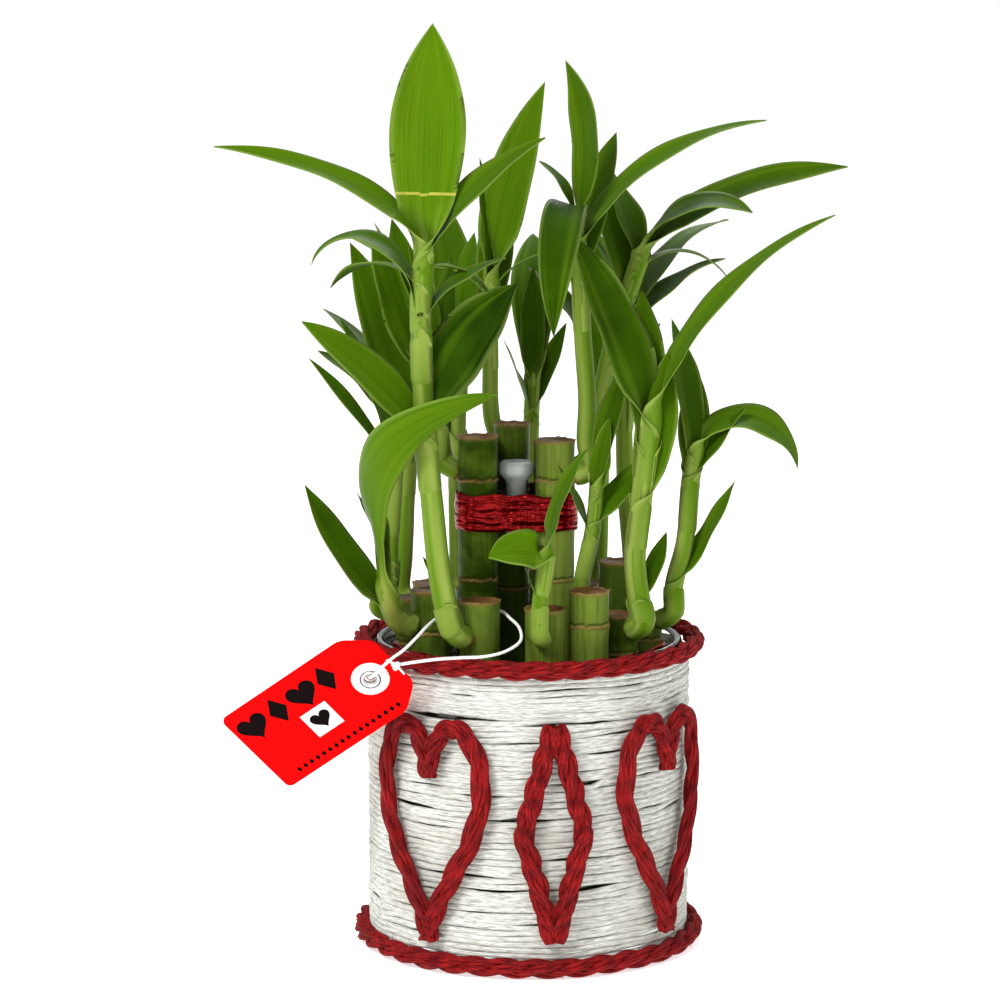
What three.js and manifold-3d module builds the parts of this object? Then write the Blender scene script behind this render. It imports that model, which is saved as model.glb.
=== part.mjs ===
// Lucky bamboo: two tiers of cut stalks tied in bundles, each stalk with one leafy shoot, standing on
// pebbles in a glass vase that is wound with white twine and trimmed with red rope, with a hang tag.
// Millimetres, +Z up. The origin is the centre of the vase's foot, and -Y is the front.
import * as THREE from 'three';
import { mergeVertices } from 'three/addons/utils/BufferGeometryUtils.js';
import Module from 'manifold-3d';

const wasm = await Module();
wasm.setup();

// Driving dimensions
const GAP = 0.3;              // clearance between pieces that touch
const VASE_RADIUS = 48;
const VASE_HEIGHT = 96;
const GLASS_WALL = 2.4;
const GLASS_FLOOR = 4;
const TWINE_THICKNESS = 2.4;
const BORDER_ROPE_RADIUS = 3.1;
const RIM_ROPE_HEIGHT = 94.8;
const MOTIF_ROPE = { halfWidth: 3.5, halfHeight: 2.5 };
const PEBBLE_DEPTH = 18;
const STALK_RADIUS = 6.1;
const STALK_SPREAD = 1.05;    // how far a node ring stands out, as a share of the radius
const STALK_WAIST = 0.95;
const INTERNODE = 31;
const SLIM_STALK_RADIUS = 5.6;
const BUNDLE = { x: -3.8, y: 0, radius: 13.2 };
const TUBE = { radius: 3.2, flange: 5.6, bore: 2, top: 151, length: 26, depth: 21 };
const RIBBON_THICKNESS = 0.9;
const UPPER_TIE = { low: 130.5, high: 142 };
const LOWER_TIE = { low: 86, high: 94.5, inside: 42.9 };
const LEAF_THICKNESS = 0.9;
const LEAF_CHANNEL = 0.22;    // how far a leaf's edges rise above its midrib, as a share of its half width
const LEAF_NECK = 0.34;       // a leaf's width where it leaves the stem, as a share of its greatest width
const LEAF_WIDEST = 0.5;      // where along it a leaf is widest
const STRING_RADIUS = 0.5;

const COLOURS = {
  glass: [0xdfe8e6, 0.05, 0], pebble: [0x4a4640, 0.7, 0], twine: [0xd8d8cc, 0.9, 0], rope: [0xb01820, 0.8, 0],
  stalk: [0x55782a, 0.5, 0], shoot: [0x5a8f22, 0.45, 0], ribbon: [0xa80c18, 0.25, 0.6],
  tube: [0xb8c0c0, 0.4, 0], card: [0xe80c10, 0.5, 0], washer: [0xf2f2f0, 0.4, 0], string: [0xf8f8f4, 0.8, 0],
};

const rad = THREE.MathUtils.degToRad;
const object = new THREE.Group();

function add(name, geometry, colour, x = 0, y = 0, z = 0) {
  const [color, roughness, metalness] = COLOURS[colour];
  const mesh = new THREE.Mesh(geometry, new THREE.MeshStandardMaterial({ color, roughness, metalness }));
  mesh.name = name;
  mesh.position.set(x, y, z);
  object.add(mesh);
  return mesh;
}

function closed(geometry) {
  geometry.deleteAttribute('normal');
  geometry.deleteAttribute('uv');
  return mergeVertices(geometry);
}

// Joins closed geometries into one solid. Its outer shell alone is kept, so a pocket that is sealed
// between them is filled.
function joined(geometries) {
  const solids = geometries.map((geometry) => new wasm.Manifold(new wasm.Mesh({
    numProp: 3,
    vertProperties: Float32Array.from(geometry.attributes.position.array),
    triVerts: Uint32Array.from(geometry.index.array),
  })));
  const shells = solids.reduce((whole, solid) => whole.add(solid)).decompose();
  const mesh = shells.reduce((a, b) => (a.volume() > b.volume() ? a : b)).getMesh();
  const result = new THREE.BufferGeometry();
  result.setAttribute('position', new THREE.BufferAttribute(Float32Array.from(mesh.vertProperties), 3));
  result.setIndex(new THREE.BufferAttribute(Uint32Array.from(mesh.triVerts), 1));
  return result;
}

// A profile of [radius, height] points, turned about +Z.
function turned(profile, sides) {
  const points = profile.map(([radius, height]) => new THREE.Vector2(radius, height));
  return closed(new THREE.LatheGeometry(points, sides).rotateX(Math.PI / 2));
}

// A sleeve about +Z with a wall between two radii.
function sleeve(inside, outside, low, high, sides) {
  return turned([[inside, low], [outside, low], [outside, high], [inside, high], [inside, low]], sides);
}

// A ring of round rope about +Z.
function ropeRing(ringRadius, ropeRadius, height, sides) {
  const profile = [];
  for (let i = 0; i <= 6; i += 1) {
    const angle = (i % 6) * Math.PI / 3;
    profile.push([ringRadius + ropeRadius * Math.cos(angle), height + ropeRadius * Math.sin(angle)]);
  }
  return turned(profile, sides);
}

// A bar or a pointed bar whose section follows a path: place(along, side, face) gives each vertex its
// place, where along runs from 0 to 1 and (side, face) is a point of the unit section.
function swept(sides, steps, pointed, place) {
  const blank = pointed
    ? new THREE.ConeGeometry(1, 1, sides, steps)
    : new THREE.CylinderGeometry(1, 1, 1, sides, steps);
  const solid = closed(blank);
  const { position } = solid.attributes;
  for (let i = 0; i < position.count; i += 1) {
    const out = Math.hypot(position.getX(i), position.getZ(i));
    const scale = out > 0 ? 1 / out : 0;
    const spot = place(position.getY(i) + 0.5, position.getX(i) * scale, position.getZ(i) * scale);
    position.setXYZ(i, spot.x, spot.y, spot.z);
  }
  return solid;
}

// A round bar along a list of points, its radius given along its length.
function rod(points, sides, steps, pointed, radiusAt) {
  const curve = new THREE.CatmullRomCurve3(points.map((point) => new THREE.Vector3(...point)));
  const frames = curve.computeFrenetFrames(steps);
  return swept(sides, steps, pointed, (along, side, face) => {
    const i = Math.round(along * steps);
    return curve.getPointAt(along)
      .addScaledVector(frames.binormals[i], side * radiusAt(along))
      .addScaledVector(frames.normals[i], face * radiusAt(along));
  });
}

// A strap-shaped leaf. Its spine leaves the stem at one pitch and ends at another, in the direction of
// its heading, which a sweep turns along the way; its blade is widest near the middle and pointed.
function leaf(base, [, heading, length, width, rise, fall, haste = 1, sweep = 0, roll = 0]) {
  const steps = 6;
  const fine = 4;
  const spine = [];
  const spot = base.clone();
  const aim = (s) => {
    const pitch = rad(rise + (fall - rise) * s ** haste);
    const turn = rad(heading + sweep * s);
    return {
      turn,
      tangent: new THREE.Vector3(
        Math.cos(pitch) * Math.cos(turn), Math.cos(pitch) * Math.sin(turn), Math.sin(pitch)),
    };
  };
  for (let i = 0; i <= steps * fine; i += 1) {
    if (i % fine === 0) spine.push({ spot: spot.clone(), ...aim(i / (steps * fine)) });
    spot.addScaledVector(aim((i + 0.5) / (steps * fine)).tangent, length / (steps * fine));
  }
  return swept(4, steps, true, (along, side, face) => {
    const { spot: centre, turn, tangent } = spine[Math.round(along * steps)];
    const level = new THREE.Vector3(-Math.sin(turn), Math.cos(turn), 0);
    const up = tangent.clone().cross(level).applyAxisAngle(tangent, rad(roll));
    const across = tangent.clone().cross(up);
    const opening = LEAF_NECK + (1 - LEAF_NECK) * Math.sin(Math.PI / 2 * Math.min(along / LEAF_WIDEST, 1));
    const closing = 1 - Math.max((along - LEAF_WIDEST) / (1 - LEAF_WIDEST), 0) ** 2;
    const halfWidth = width / 2 * opening * closing;
    const lift = face * LEAF_THICKNESS / 2 * (1 - 0.4 * along) + Math.abs(side) * halfWidth * LEAF_CHANNEL;
    return centre.clone().addScaledVector(across, side * halfWidth).addScaledVector(up, lift);
  });
}

// A cut stalk: waisted between its node rings, with a lip at the cut.
function stalk(name, x, y, top, firstNode, radius) {
  const foot = GLASS_FLOOR + PEBBLE_DEPTH + 2 * GAP;
  const ring = radius * STALK_SPREAD;
  const waist = radius * STALK_WAIST;
  const profile = [[0, foot], [waist, foot]];
  let height = firstNode;
  while (height - INTERNODE > foot + 4) height -= INTERNODE;
  while (height < top - 4) {
    profile.push([ring, height]);
    const next = Math.min(height + INTERNODE, top);
    profile.push([waist, (height + next) / 2]);
    height += INTERNODE;
  }
  profile.push([ring * 0.99, top - 1], [waist, top], [0, top]);
  add(name, turned(profile, 8), 'stalk', x, y, 0);
}

// A shoot: one green stem that leaves the side of its stalk and turns upwards, with its leaves.
function shoot(name, x, y, { heading, foot, girth, stem, leaves }) {
  const reach = STALK_RADIUS * STALK_SPREAD + 4 * GAP;
  const out = (distance, height) => [
    x + distance * Math.cos(rad(heading)), y + distance * Math.sin(rad(heading)), height];
  const points = [out(reach, foot), out(reach + 4, foot + 3.5), ...stem];
  const curve = new THREE.CatmullRomCurve3(points.map((point) => new THREE.Vector3(...point)));
  const pieces = [rod(points, 6, 11, true, (along) => (
    (girth[0] + (girth[1] - girth[0]) * along) * Math.min(1, 0.5 + along * 6, (1 - along) * 14)))];
  for (const blade of leaves) {
    let along = 0;
    while (along < 0.985 && curve.getPoint(along).z < blade[0]) along += 0.005;
    pieces.push(leaf(curve.getPoint(along), blade));
  }
  add(name, joined(pieces), 'shoot');
}

// The vase and what it holds
const vaseInside = VASE_RADIUS - GLASS_WALL;
const rimBevel = 0.6;
add('glass_vase', turned([
  [0, 0], [VASE_RADIUS - 1, 0], [VASE_RADIUS, 1],
  [VASE_RADIUS, VASE_HEIGHT - rimBevel], [VASE_RADIUS - rimBevel, VASE_HEIGHT],
  [vaseInside + rimBevel, VASE_HEIGHT], [vaseInside, VASE_HEIGHT - rimBevel],
  [vaseInside, GLASS_FLOOR], [0, GLASS_FLOOR],
], 36), 'glass');
const pebbleFloor = GLASS_FLOOR + GAP;
add('pebble_bed', turned([
  [0, pebbleFloor], [vaseInside - 1, pebbleFloor],
  [vaseInside - 1, pebbleFloor + PEBBLE_DEPTH], [0, pebbleFloor + PEBBLE_DEPTH],
], 24), 'pebble');

// Rope borders and the twine between them
const twineInside = VASE_RADIUS + GAP;
const twineOutside = twineInside + TWINE_THICKNESS;
const ropeRingRadius = VASE_RADIUS + BORDER_ROPE_RADIUS + 1;
const footRopeHeight = BORDER_ROPE_RADIUS + GAP;
const ropeClear = BORDER_ROPE_RADIUS + GAP;
add('bottom_rope_border', ropeRing(ropeRingRadius, BORDER_ROPE_RADIUS, footRopeHeight, 36), 'rope');
add('top_rope_border', ropeRing(ropeRingRadius, BORDER_ROPE_RADIUS, RIM_ROPE_HEIGHT, 36), 'rope');
add('white_twine_wrap', sleeve(
  twineInside, twineOutside, footRopeHeight + ropeClear, RIM_ROPE_HEIGHT - ropeClear, 36), 'twine');

// A rope motif is two mirrored runs of rope laid on the twine, joined where they meet. Its outline is a
// function that gives [across, height] in millimetres for one run, from one meeting point to the other.
function ropeMotif(name, heading, outline) {
  const faceRadius = twineOutside + GAP + MOTIF_ROPE.halfHeight;
  const steps = 12;
  const runs = [-1, 1].map((mirror) => swept(6, steps, false, (along, side, face) => {
    const at = outline(along);
    const before = outline(Math.max(along - 0.02, 0));
    const after = outline(Math.min(along + 0.02, 1));
    const run = Math.hypot(after[0] - before[0], after[1] - before[1]);
    const across = side * MOTIF_ROPE.halfWidth;
    const width = mirror * (at[0] + mirror * across * (after[1] - before[1]) / run);
    const height = at[1] - mirror * across * (after[0] - before[0]) / run;
    const angle = rad(heading) + width / twineOutside;
    const radius = faceRadius + face * MOTIF_ROPE.halfHeight;
    return new THREE.Vector3(radius * Math.cos(angle), radius * Math.sin(angle), height);
  }));
  add(name, joined(runs), 'rope');
}

function heart(along) {
  const t = Math.PI * (0.02 + 0.96 * along);
  const round = 13 * Math.cos(t) - 5 * Math.cos(2 * t) - 2 * Math.cos(3 * t) - Math.cos(4 * t);
  return [17 * Math.sin(t) ** 3, 49 + 2.3 * round];
}

function lozenge(along) {
  return [8.5 * (1 - Math.abs(2 * along - 1)) + 0.4, 78 - 66 * along];
}

ropeMotif('rope_heart_left', -125, heart);
ropeMotif('rope_lozenge_centre', -82, lozenge);
ropeMotif('rope_heart_right', -38, heart);

// Core tube and ribbon ties
const stalkReach = STALK_RADIUS * STALK_SPREAD;
const tubeLow = TUBE.top - TUBE.length;
add('core_tube', turned([
  [0, tubeLow], [TUBE.radius, tubeLow], [TUBE.radius, TUBE.top - 6], [TUBE.flange, TUBE.top - 3.5],
  [TUBE.flange, TUBE.top - 1], [TUBE.flange - 1.2, TUBE.top], [TUBE.bore, TUBE.top],
  [TUBE.bore, TUBE.top - TUBE.depth], [0, TUBE.top - TUBE.depth],
], 14), 'tube', BUNDLE.x, BUNDLE.y);
const tieInside = BUNDLE.radius + stalkReach + GAP;
add('upper_ribbon_tie', sleeve(
  tieInside, tieInside + RIBBON_THICKNESS, UPPER_TIE.low, UPPER_TIE.high, 36), 'ribbon', BUNDLE.x, BUNDLE.y);
add('lower_ribbon_tie', sleeve(
  LOWER_TIE.inside, LOWER_TIE.inside + RIBBON_THICKNESS, LOWER_TIE.low, LOWER_TIE.high, 40), 'ribbon');

// Inner tier: place round the bundle in degrees, top, height of one node ring, and the shoot.
// A leaf is [height on the stem, heading, length, width, pitch at the base, pitch at the tip,
// how late it bends, sweep, roll], with its angles in degrees.
const INNER = [
  { angle: -155, top: 159.7, node: 146, shoot: { heading: 172, foot: 147.5, girth: [2.6, 1.8],
    stem: [[-27.4, -4.6, 158], [-28.4, -4.8, 170], [-28.6, -4.6, 184]],
    leaves: [[160, 200, 26, 8, 60, 78, 1, 0, 0], [172, 70, 44, 10, 76, 66, 1, 0, 0],
      [180, 150, 40, 9, 84, 66, 1, 0, 0]] } },
  { angle: -25, top: 158.5, node: 114.8, shoot: { heading: -14, foot: 146.6, girth: [3.3, 2.4],
    stem: [[17.8, -8.6, 157], [17.9, -8.8, 171], [16.4, -8.6, 192], [15.2, -8.6, 214], [13.4, -8.4, 230]],
    leaves: [[222, -20, 54, 11, 72, 120, 1.3, 0, 62], [214, 2, 76, 9, 72, 6, 0.8, 0, 34],
      [221, -97, 72, 13, 90, -100, 0.58, -8, -15], [226, 160, 22, 6, 84, 30, 1, 0, 0],
      [206, 60, 52, 12, 74, 50, 1, 0, 0]] } },
  { angle: 33, top: 156, node: 134, slim: true, shoot: { heading: 20, foot: 146.6, girth: [3.1, 2.4],
    stem: [[19.6, 13.6, 158], [22.5, 14, 169], [27.1, 14.5, 190], [33.5, 15, 209], [36.6, 15, 218]],
    leaves: [[212, 5, 75, 12, 58, 2, 0.6, 0, 34], [212, -38, 46, 15, 66, -30, 1.2, 30, 20],
      [206, 24, 40, 5, 62, -52, 0.8, 0, 0], [200, 128, 52, 14, 76, 58, 1, 0, 0],
      [212, 130, 32, 12, 72, 44, 1, 0, 0]] } },
  { angle: 96, top: 161.5, node: 140, slim: true, shoot: { heading: 105, foot: 148.5, girth: [3, 2.2],
    stem: [[-11.4, 24.5, 161], [-12, 25, 180], [-12, 25, 199], [-10.6, 25, 214]],
    leaves: [[204, 0, 66, 15, 84, 66, 1, 0, 74], [196, 190, 32, 4, 72, -12, 0.8, 0, 0],
      [198, -2, 34, 4, 78, -8, 0.8, 0, 0], [202, 150, 42, 9, 88, 80, 1, 0, 0],
      [190, 80, 52, 12, 72, 46, 1, 0, 0]] } },
  { angle: 150, top: 157, node: 128, slim: true, shoot: { heading: 158, foot: 146.6, girth: [3, 2.2],
    stem: [[-27.4, 9.4, 158], [-31, 9.6, 170], [-35.6, 9.6, 184]],
    leaves: [[172, 184, 52, 15, 76, 66, 1, 0, -62], [180, 120, 48, 12, 80, 60, 1, 0, 0],
      [184, 208, 44, 9, 82, 62, 1, 0, 0]] } },
];

// Outer tier: [x, y] of the stalk, top, height of one node ring, and the shoot.
const OUTER = [
  { at: [-15, -33], top: 113, node: 92, shoot: { heading: 228, foot: 101.5, girth: [3.8, 2.8],
    stem: [[-26.6, -41.5, 120], [-29.2, -41.5, 144], [-31.2, -41.5, 168], [-32.1, -41.5, 189],
      [-32, -41.5, 210], [-30, -41.5, 226]],
    leaves: [[215, 0, 70, 23, 90, 86, 1, 0, 86], [216, 183, 75, 8.5, 80, 4, 0.45, 0, -34],
      [214, -4, 54, 10, 70, 26, 0.8, 0, 34], [191, 176, 58, 10, 86, -74, 1.9, 0, -16],
      [206, 158, 36, 8, 60, -52, 0.9, 0, 0], [212, 24, 30, 5, 20, -72, 1, 0, 0],
      [166, 8, 52, 19, 72, 40, 1, 0, 58], [160, 178, 54, 13, 58, 30, 1, 0, -44],
      [112, 172, 17, 5, 62, 68, 1, 0, 0], [196, 8, 34, 7, 66, 14, 0.8, 0, 14]] } },
  { at: [4.7, -34], top: 110.6, node: 88, shoot: { heading: -98, foot: 101.5, girth: [3, 2.1],
    stem: [[3.1, -45, 114], [4.6, -45, 124], [5.6, -45, 132]],
    leaves: [[127, 206, 21, 13, 30, -22, 1, 0, -64], [128, -20, 36, 8, 86, 52, 1, 0, 50],
      [112, 190, 15, 4, 66, 74, 1, 0, 0]] } },
  { at: [18.1, -30], top: 115.4, node: 104.8, shoot: { heading: 104, foot: 103, girth: [3, 2],
    stem: [[16.2, -18.4, 116], [19.4, -18, 132], [21, -18, 150]],
    leaves: [[140, -10, 27, 8, 84, 78, 1, 0, 60], [132, 8, 30, 9, 58, 34, 1, 0, 40],
      [146, 40, 40, 10, 80, 62, 1, 0, 0], [128, 170, 26, 7, 70, 60, 1, 0, 0]] } },
  { at: [27.5, -17.5], top: 106, node: 94, shoot: { heading: -52, foot: 101.5, girth: [4, 2.9],
    stem: [[33.4, -25, 112], [32.2, -25, 124], [34, -25, 142], [37.2, -25, 170]],
    leaves: [[160, 186, 68, 16, 78, 58, 1, 0, -66], [166, -8, 86, 12, 70, 24, 1.1, 0, 34],
      [156, 104, 50, 13, 84, 78, 1, 0, 0], [140, 12, 48, 13, 76, 84, 1, 0, 66],
      [110, 22, 24, 6, 62, 70, 1, 0, 40]] } },
  { at: [35.5, -5.5], top: 104, node: 96, shoot: { heading: -40, foot: 102, girth: [3.4, 2.4],
    stem: [[44.8, -13, 114], [48, -14, 128], [49.6, -14, 147], [52, -14, 160]],
    leaves: [[156, 2, 44, 12, 84, -80, 0.75, 0, 44], [146, -6, 30, 8, 62, 44, 1, 0, 40],
      [112, -12, 40, 9, 54, 66, 1, 0, 44], [152, 120, 46, 11, 84, 60, 1, 0, 0],
      [148, 80, 34, 10, 80, 56, 1, 0, 0]] } },
  { at: [28.4, 10], top: 118, node: 114.4, shoot: { heading: 64, foot: 102, girth: [3.2, 2.3],
    stem: [[33, 21.4, 117], [31, 21.6, 140], [30.6, 22, 168], [32, 23.4, 186], [33.2, 25, 196]],
    leaves: [[188, 176, 34, 11, 80, 56, 1, 0, 0], [194, 44, 56, 14, 58, 4, 1, 0, 0],
      [186, 22, 44, 12, 62, 10, 1, 0, 0], [172, 84, 50, 12, 60, 20, 1, 0, 0]] } },
  { at: [17, 29], top: 108, node: 92, shoot: { heading: 62, foot: 102, girth: [3.2, 2.2],
    stem: [[23.2, 39.4, 116], [23.8, 40, 140], [23.8, 40.6, 166], [23.6, 40.6, 186]],
    leaves: [[180, 104, 58, 15, 74, 34, 1, 0, 0], [160, 242, 38, 10, 80, 66, 1, 0, 0],
      [172, 150, 46, 12, 72, 30, 1, 0, 0], [156, 60, 54, 13, 60, 10, 1, 0, 0]] } },
  { at: [0, 34.5], top: 112, node: 100, shoot: { heading: 84, foot: 102, girth: [3.2, 2.2],
    stem: [[1, 46, 118], [1, 46, 150], [2, 46, 176]],
    leaves: [[168, -86, 40, 8.5, 92, 86, 1, 0, 0], [160, 10, 32, 7, 72, 64, 1, 0, 40],
      [156, 196, 30, 7, 76, 66, 1, 0, 0], [172, 90, 60, 15, 74, 24, 1, 0, 0]] } },
  { at: [-17, 30], top: 106, node: 90, shoot: { heading: 118, foot: 102, girth: [3.2, 2.2],
    stem: [[-22.6, 40, 116], [-23, 41, 140], [-22, 42, 166], [-22, 42, 186]],
    leaves: [[180, 104, 62, 15, 78, 30, 1, 0, 0], [178, 160, 56, 13, 70, 20, 1, 0, 0],
      [176, 60, 44, 12, 84, 70, 1, 0, 0], [150, 130, 52, 12, 62, 14, 1, 0, 0]] } },
  { at: [-30.5, 17], top: 110, node: 98, shoot: { heading: 146, foot: 102, girth: [3.2, 2.3],
    stem: [[-39.6, 23, 117], [-38.8, 23, 132], [-38, 23, 150], [-39, 23, 164]],
    leaves: [[158, 178, 62, 16, 80, 66, 1, 0, -60], [154, 140, 56, 13, 70, 24, 1, 0, 0],
      [150, 196, 46, 11, 66, 30, 1, 0, -20]] } },
  { at: [-35.5, -1], top: 108.5, node: 94, shoot: { heading: 186, foot: 102, girth: [2.9, 2],
    stem: [[-43.6, -3, 112], [-42.6, -3.4, 127], [-41.4, -4, 148], [-41.6, -4, 156]],
    leaves: [[146, 180, 46, 6.5, 60, 46, 1, 0, -20], [150, 150, 50, 12, 78, 52, 1, 0, 0],
      [118, 166, 26, 7, 60, 66, 1, 0, 0]] } },
  { at: [-30.4, -16], top: 113.3, node: 100, shoot: { heading: 212, foot: 102, girth: [4, 2.6],
    stem: [[-42.6, -24, 114], [-45, -25, 124]],
    leaves: [[108, -6, 94, 17, 116, 16, 1.5, 0, 22], [106, 186, 50, 11, 48, 64, 1, 0, -52],
      [116, 230, 34, 9, 84, 74, 1, 0, 0]] } },
];

INNER.forEach(({ angle, top, node, slim, shoot: grown }, i) => {
  const x = BUNDLE.x + BUNDLE.radius * Math.cos(rad(angle));
  const y = BUNDLE.y + BUNDLE.radius * Math.sin(rad(angle));
  stalk(`inner_stalk_${i + 1}`, x, y, top, node, slim ? SLIM_STALK_RADIUS : STALK_RADIUS);
  shoot(`inner_shoot_${i + 1}`, x, y, grown);
});
OUTER.forEach(({ at: [x, y], top, node, shoot: grown }, i) => {
  stalk(`outer_stalk_${i + 1}`, x, y, top, node, STALK_RADIUS);
  shoot(`outer_shoot_${i + 1}`, x, y, grown);
});

// Hang tag: a card with cut corners, a washer round its hole, and the string that ties it to a stalk.
const TAG = {
  x: -47.5, y: -50.5, z: 92.8, length: 54, width: 32, end: 19, cut: 8, thickness: 0.8, hole: 2.2, inset: 9,
};
const WASHER = { radius: 5.8, thickness: 0.6 };
const along = new THREE.Vector3(0.786, -0.235, 0.571).normalize();
const face = along.clone().cross(new THREE.Vector3(-0.618, -0.325, 0.716)).normalize();
const tagFrame = new THREE.Matrix4().makeBasis(along, face.clone().cross(along), face);
const ahead = TAG.inset - TAG.length;
const card = new THREE.Shape([
  [ahead, -TAG.width / 2], [TAG.inset - TAG.cut, -TAG.width / 2], [TAG.inset, -TAG.end / 2],
  [TAG.inset, TAG.end / 2], [TAG.inset - TAG.cut, TAG.width / 2], [ahead, TAG.width / 2],
].map(([x, y]) => new THREE.Vector2(x, y)));
card.holes.push(new THREE.Path().absarc(0, 0, TAG.hole, 0, Math.PI * 2, true));
const washer = new THREE.Shape().absarc(0, 0, WASHER.radius, 0, Math.PI * 2, false);
washer.holes.push(new THREE.Path().absarc(0, 0, TAG.hole, 0, Math.PI * 2, true));

// A plate of the tag, from an outline, lifted off the card's back.
function tagPlate(name, outline, depth, colour, lift) {
  const plate = closed(new THREE.ExtrudeGeometry(outline, { depth, bevelEnabled: false, curveSegments: 8 }));
  plate.applyMatrix4(tagFrame);
  add(name, plate, colour, TAG.x + lift * face.x, TAG.y + lift * face.y, TAG.z + lift * face.z);
}

tagPlate('gift_tag', card, TAG.thickness, 'card', 0);
tagPlate('tag_washer', washer, WASHER.thickness, 'washer', TAG.thickness + GAP);

// The string is tied to itself at a small knot by the card's edge, runs along the rope border, passes
// behind the front stalk and its shoot, and comes back over the card, through the hole to a stopper knot.
const SMALL_KNOT = { x: -39.8, y: -55.2, z: 97, radius: 1.2 };
const STOPPER_KNOT_RADIUS = 2.5;
const STRING_ROUTE = [
  [-38.3, -55.6, 97.5], [-34, -55.6, 98.2], [-27, -54.2, 98.8], [-20.6, -52.6, 98.9], [-13, -51, 99],
  [-7, -48.8, 100.2], [-2.8, -45.2, 102.6], [-3, -40, 105.4], [-5.8, -34, 107.4], [-8.8, -28, 108.6],
  [-15, -25.2, 109], [-21.6, -27.4, 108.8], [-26.8, -33, 108], [-30.6, -39.5, 106.2], [-34.2, -46, 103.4],
  [-37.8, -51.4, 100.8], [-41.2, -54.8, 98.9], [-44.2, -55, 96.2], [-46.3, -54.1, 93.9],
  [-47.4, -52.4, 92.9], [-47.5, -50.6, 92.8],
];
const route = new THREE.CatmullRomCurve3(STRING_ROUTE.map((point) => new THREE.Vector3(...point)));
const strand = new THREE.Shape().absarc(0, 0, STRING_RADIUS, 0, Math.PI * 2, false);
add('tag_string', closed(new THREE.ExtrudeGeometry(
  strand, { extrudePath: route, steps: 46, curveSegments: 4, bevelEnabled: false })), 'string');
add('string_knot', closed(new THREE.SphereGeometry(SMALL_KNOT.radius, 8, 6)), 'string',
  SMALL_KNOT.x, SMALL_KNOT.y, SMALL_KNOT.z);
const behind = STOPPER_KNOT_RADIUS + GAP;
add('stopper_knot', closed(new THREE.SphereGeometry(STOPPER_KNOT_RADIUS, 8, 6)), 'string',
  TAG.x - behind * face.x, TAG.y - behind * face.y, TAG.z - behind * face.z);

export default object;
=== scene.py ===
"""Lucky bamboo in two tied tiers, in a glass vase wound with white twine and trimmed with red rope.

Metres, +Z up. The origin is the centre of the vase's foot, and -Y is the front.
"""
import math
import random

import bmesh
import bpy
from mathutils import Matrix, Quaternion, Vector, noise


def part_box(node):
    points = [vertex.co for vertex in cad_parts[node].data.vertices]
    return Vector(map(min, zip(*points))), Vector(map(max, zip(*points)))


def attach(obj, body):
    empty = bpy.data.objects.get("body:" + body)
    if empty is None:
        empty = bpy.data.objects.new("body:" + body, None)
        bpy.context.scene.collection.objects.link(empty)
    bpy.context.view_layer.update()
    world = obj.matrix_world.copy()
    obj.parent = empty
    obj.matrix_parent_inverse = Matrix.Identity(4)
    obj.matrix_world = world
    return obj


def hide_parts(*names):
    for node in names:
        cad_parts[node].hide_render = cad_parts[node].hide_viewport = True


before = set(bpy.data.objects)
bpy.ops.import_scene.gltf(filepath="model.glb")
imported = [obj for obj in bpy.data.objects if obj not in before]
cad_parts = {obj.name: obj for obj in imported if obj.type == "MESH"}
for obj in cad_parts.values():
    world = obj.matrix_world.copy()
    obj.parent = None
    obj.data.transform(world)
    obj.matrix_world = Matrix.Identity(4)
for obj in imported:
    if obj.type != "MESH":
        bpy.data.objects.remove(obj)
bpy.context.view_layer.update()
MM = 0.001

# ---- Camera
# A long lens a metre away, at the height of the top leaves, tipped down to the vase.
camera = bpy.data.objects.new("camera", bpy.data.cameras.new("camera"))
camera.data.sensor_width = 36
camera.data.lens = 116.8
camera.location = (-0.0089, -1.0, 0.2826)
camera.rotation_euler = (math.radians(90 - 8.19), 0, 0)
bpy.context.scene.collection.objects.link(camera)
bpy.context.scene.camera = camera

# ---- Tag string
# Two-ply white cotton string, a millimetre thick. It is tied to itself in front of the vase, runs along
# the rim, passes behind the front stalk and its shoot, and comes back to the card's hole.
STRING_ROUTE = [Vector(point) for point in (
    (-0.0383, -0.0556, 0.0975), (-0.034, -0.0556, 0.0982), (-0.027, -0.0542, 0.0988),
    (-0.0206, -0.0526, 0.0989), (-0.013, -0.051, 0.099), (-0.007, -0.0488, 0.1002),
    (-0.0028, -0.0452, 0.1026), (-0.003, -0.04, 0.1054), (-0.0058, -0.034, 0.1074),
    (-0.0088, -0.028, 0.1086), (-0.015, -0.0252, 0.109), (-0.0216, -0.0274, 0.1088),
    (-0.0268, -0.033, 0.108), (-0.0306, -0.0395, 0.1062), (-0.0342, -0.046, 0.1034),
    (-0.0378, -0.0514, 0.1008), (-0.0412, -0.0548, 0.0989), (-0.0442, -0.055, 0.0962),
    (-0.0463, -0.0541, 0.0939), (-0.0474, -0.0524, 0.0929), (-0.0475, -0.0506, 0.0928),
)]
STRING_DIAMETER = 1.0 * MM
STRING_LAY = 3.2 * MM            # length of one turn of its two plies
WELD = 1e-7                      # vertices nearer to each other than this are made one


def colour(code):
    """A linear colour from an sRGB hex code."""
    shares = [int(code[i:i + 2], 16) / 255 for i in (1, 3, 5)]
    return [s / 12.92 if s <= 0.04045 else ((s + 0.055) / 1.055) ** 2.4 for s in shares] + [1.0]


def node(finish, kind, inputs=None, **settings):
    """Adds a node to a material or to the world. inputs gives each socket a value, or links it to
    another node's socket."""
    made = finish.node_tree.nodes.new(kind)
    for name, value in settings.items():
        setattr(made, name, value)
    for socket, value in (inputs or {}).items():
        if isinstance(value, bpy.types.NodeSocket):
            finish.node_tree.links.new(value, made.inputs[socket])
        else:
            made.inputs[socket].default_value = value
    return made


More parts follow.
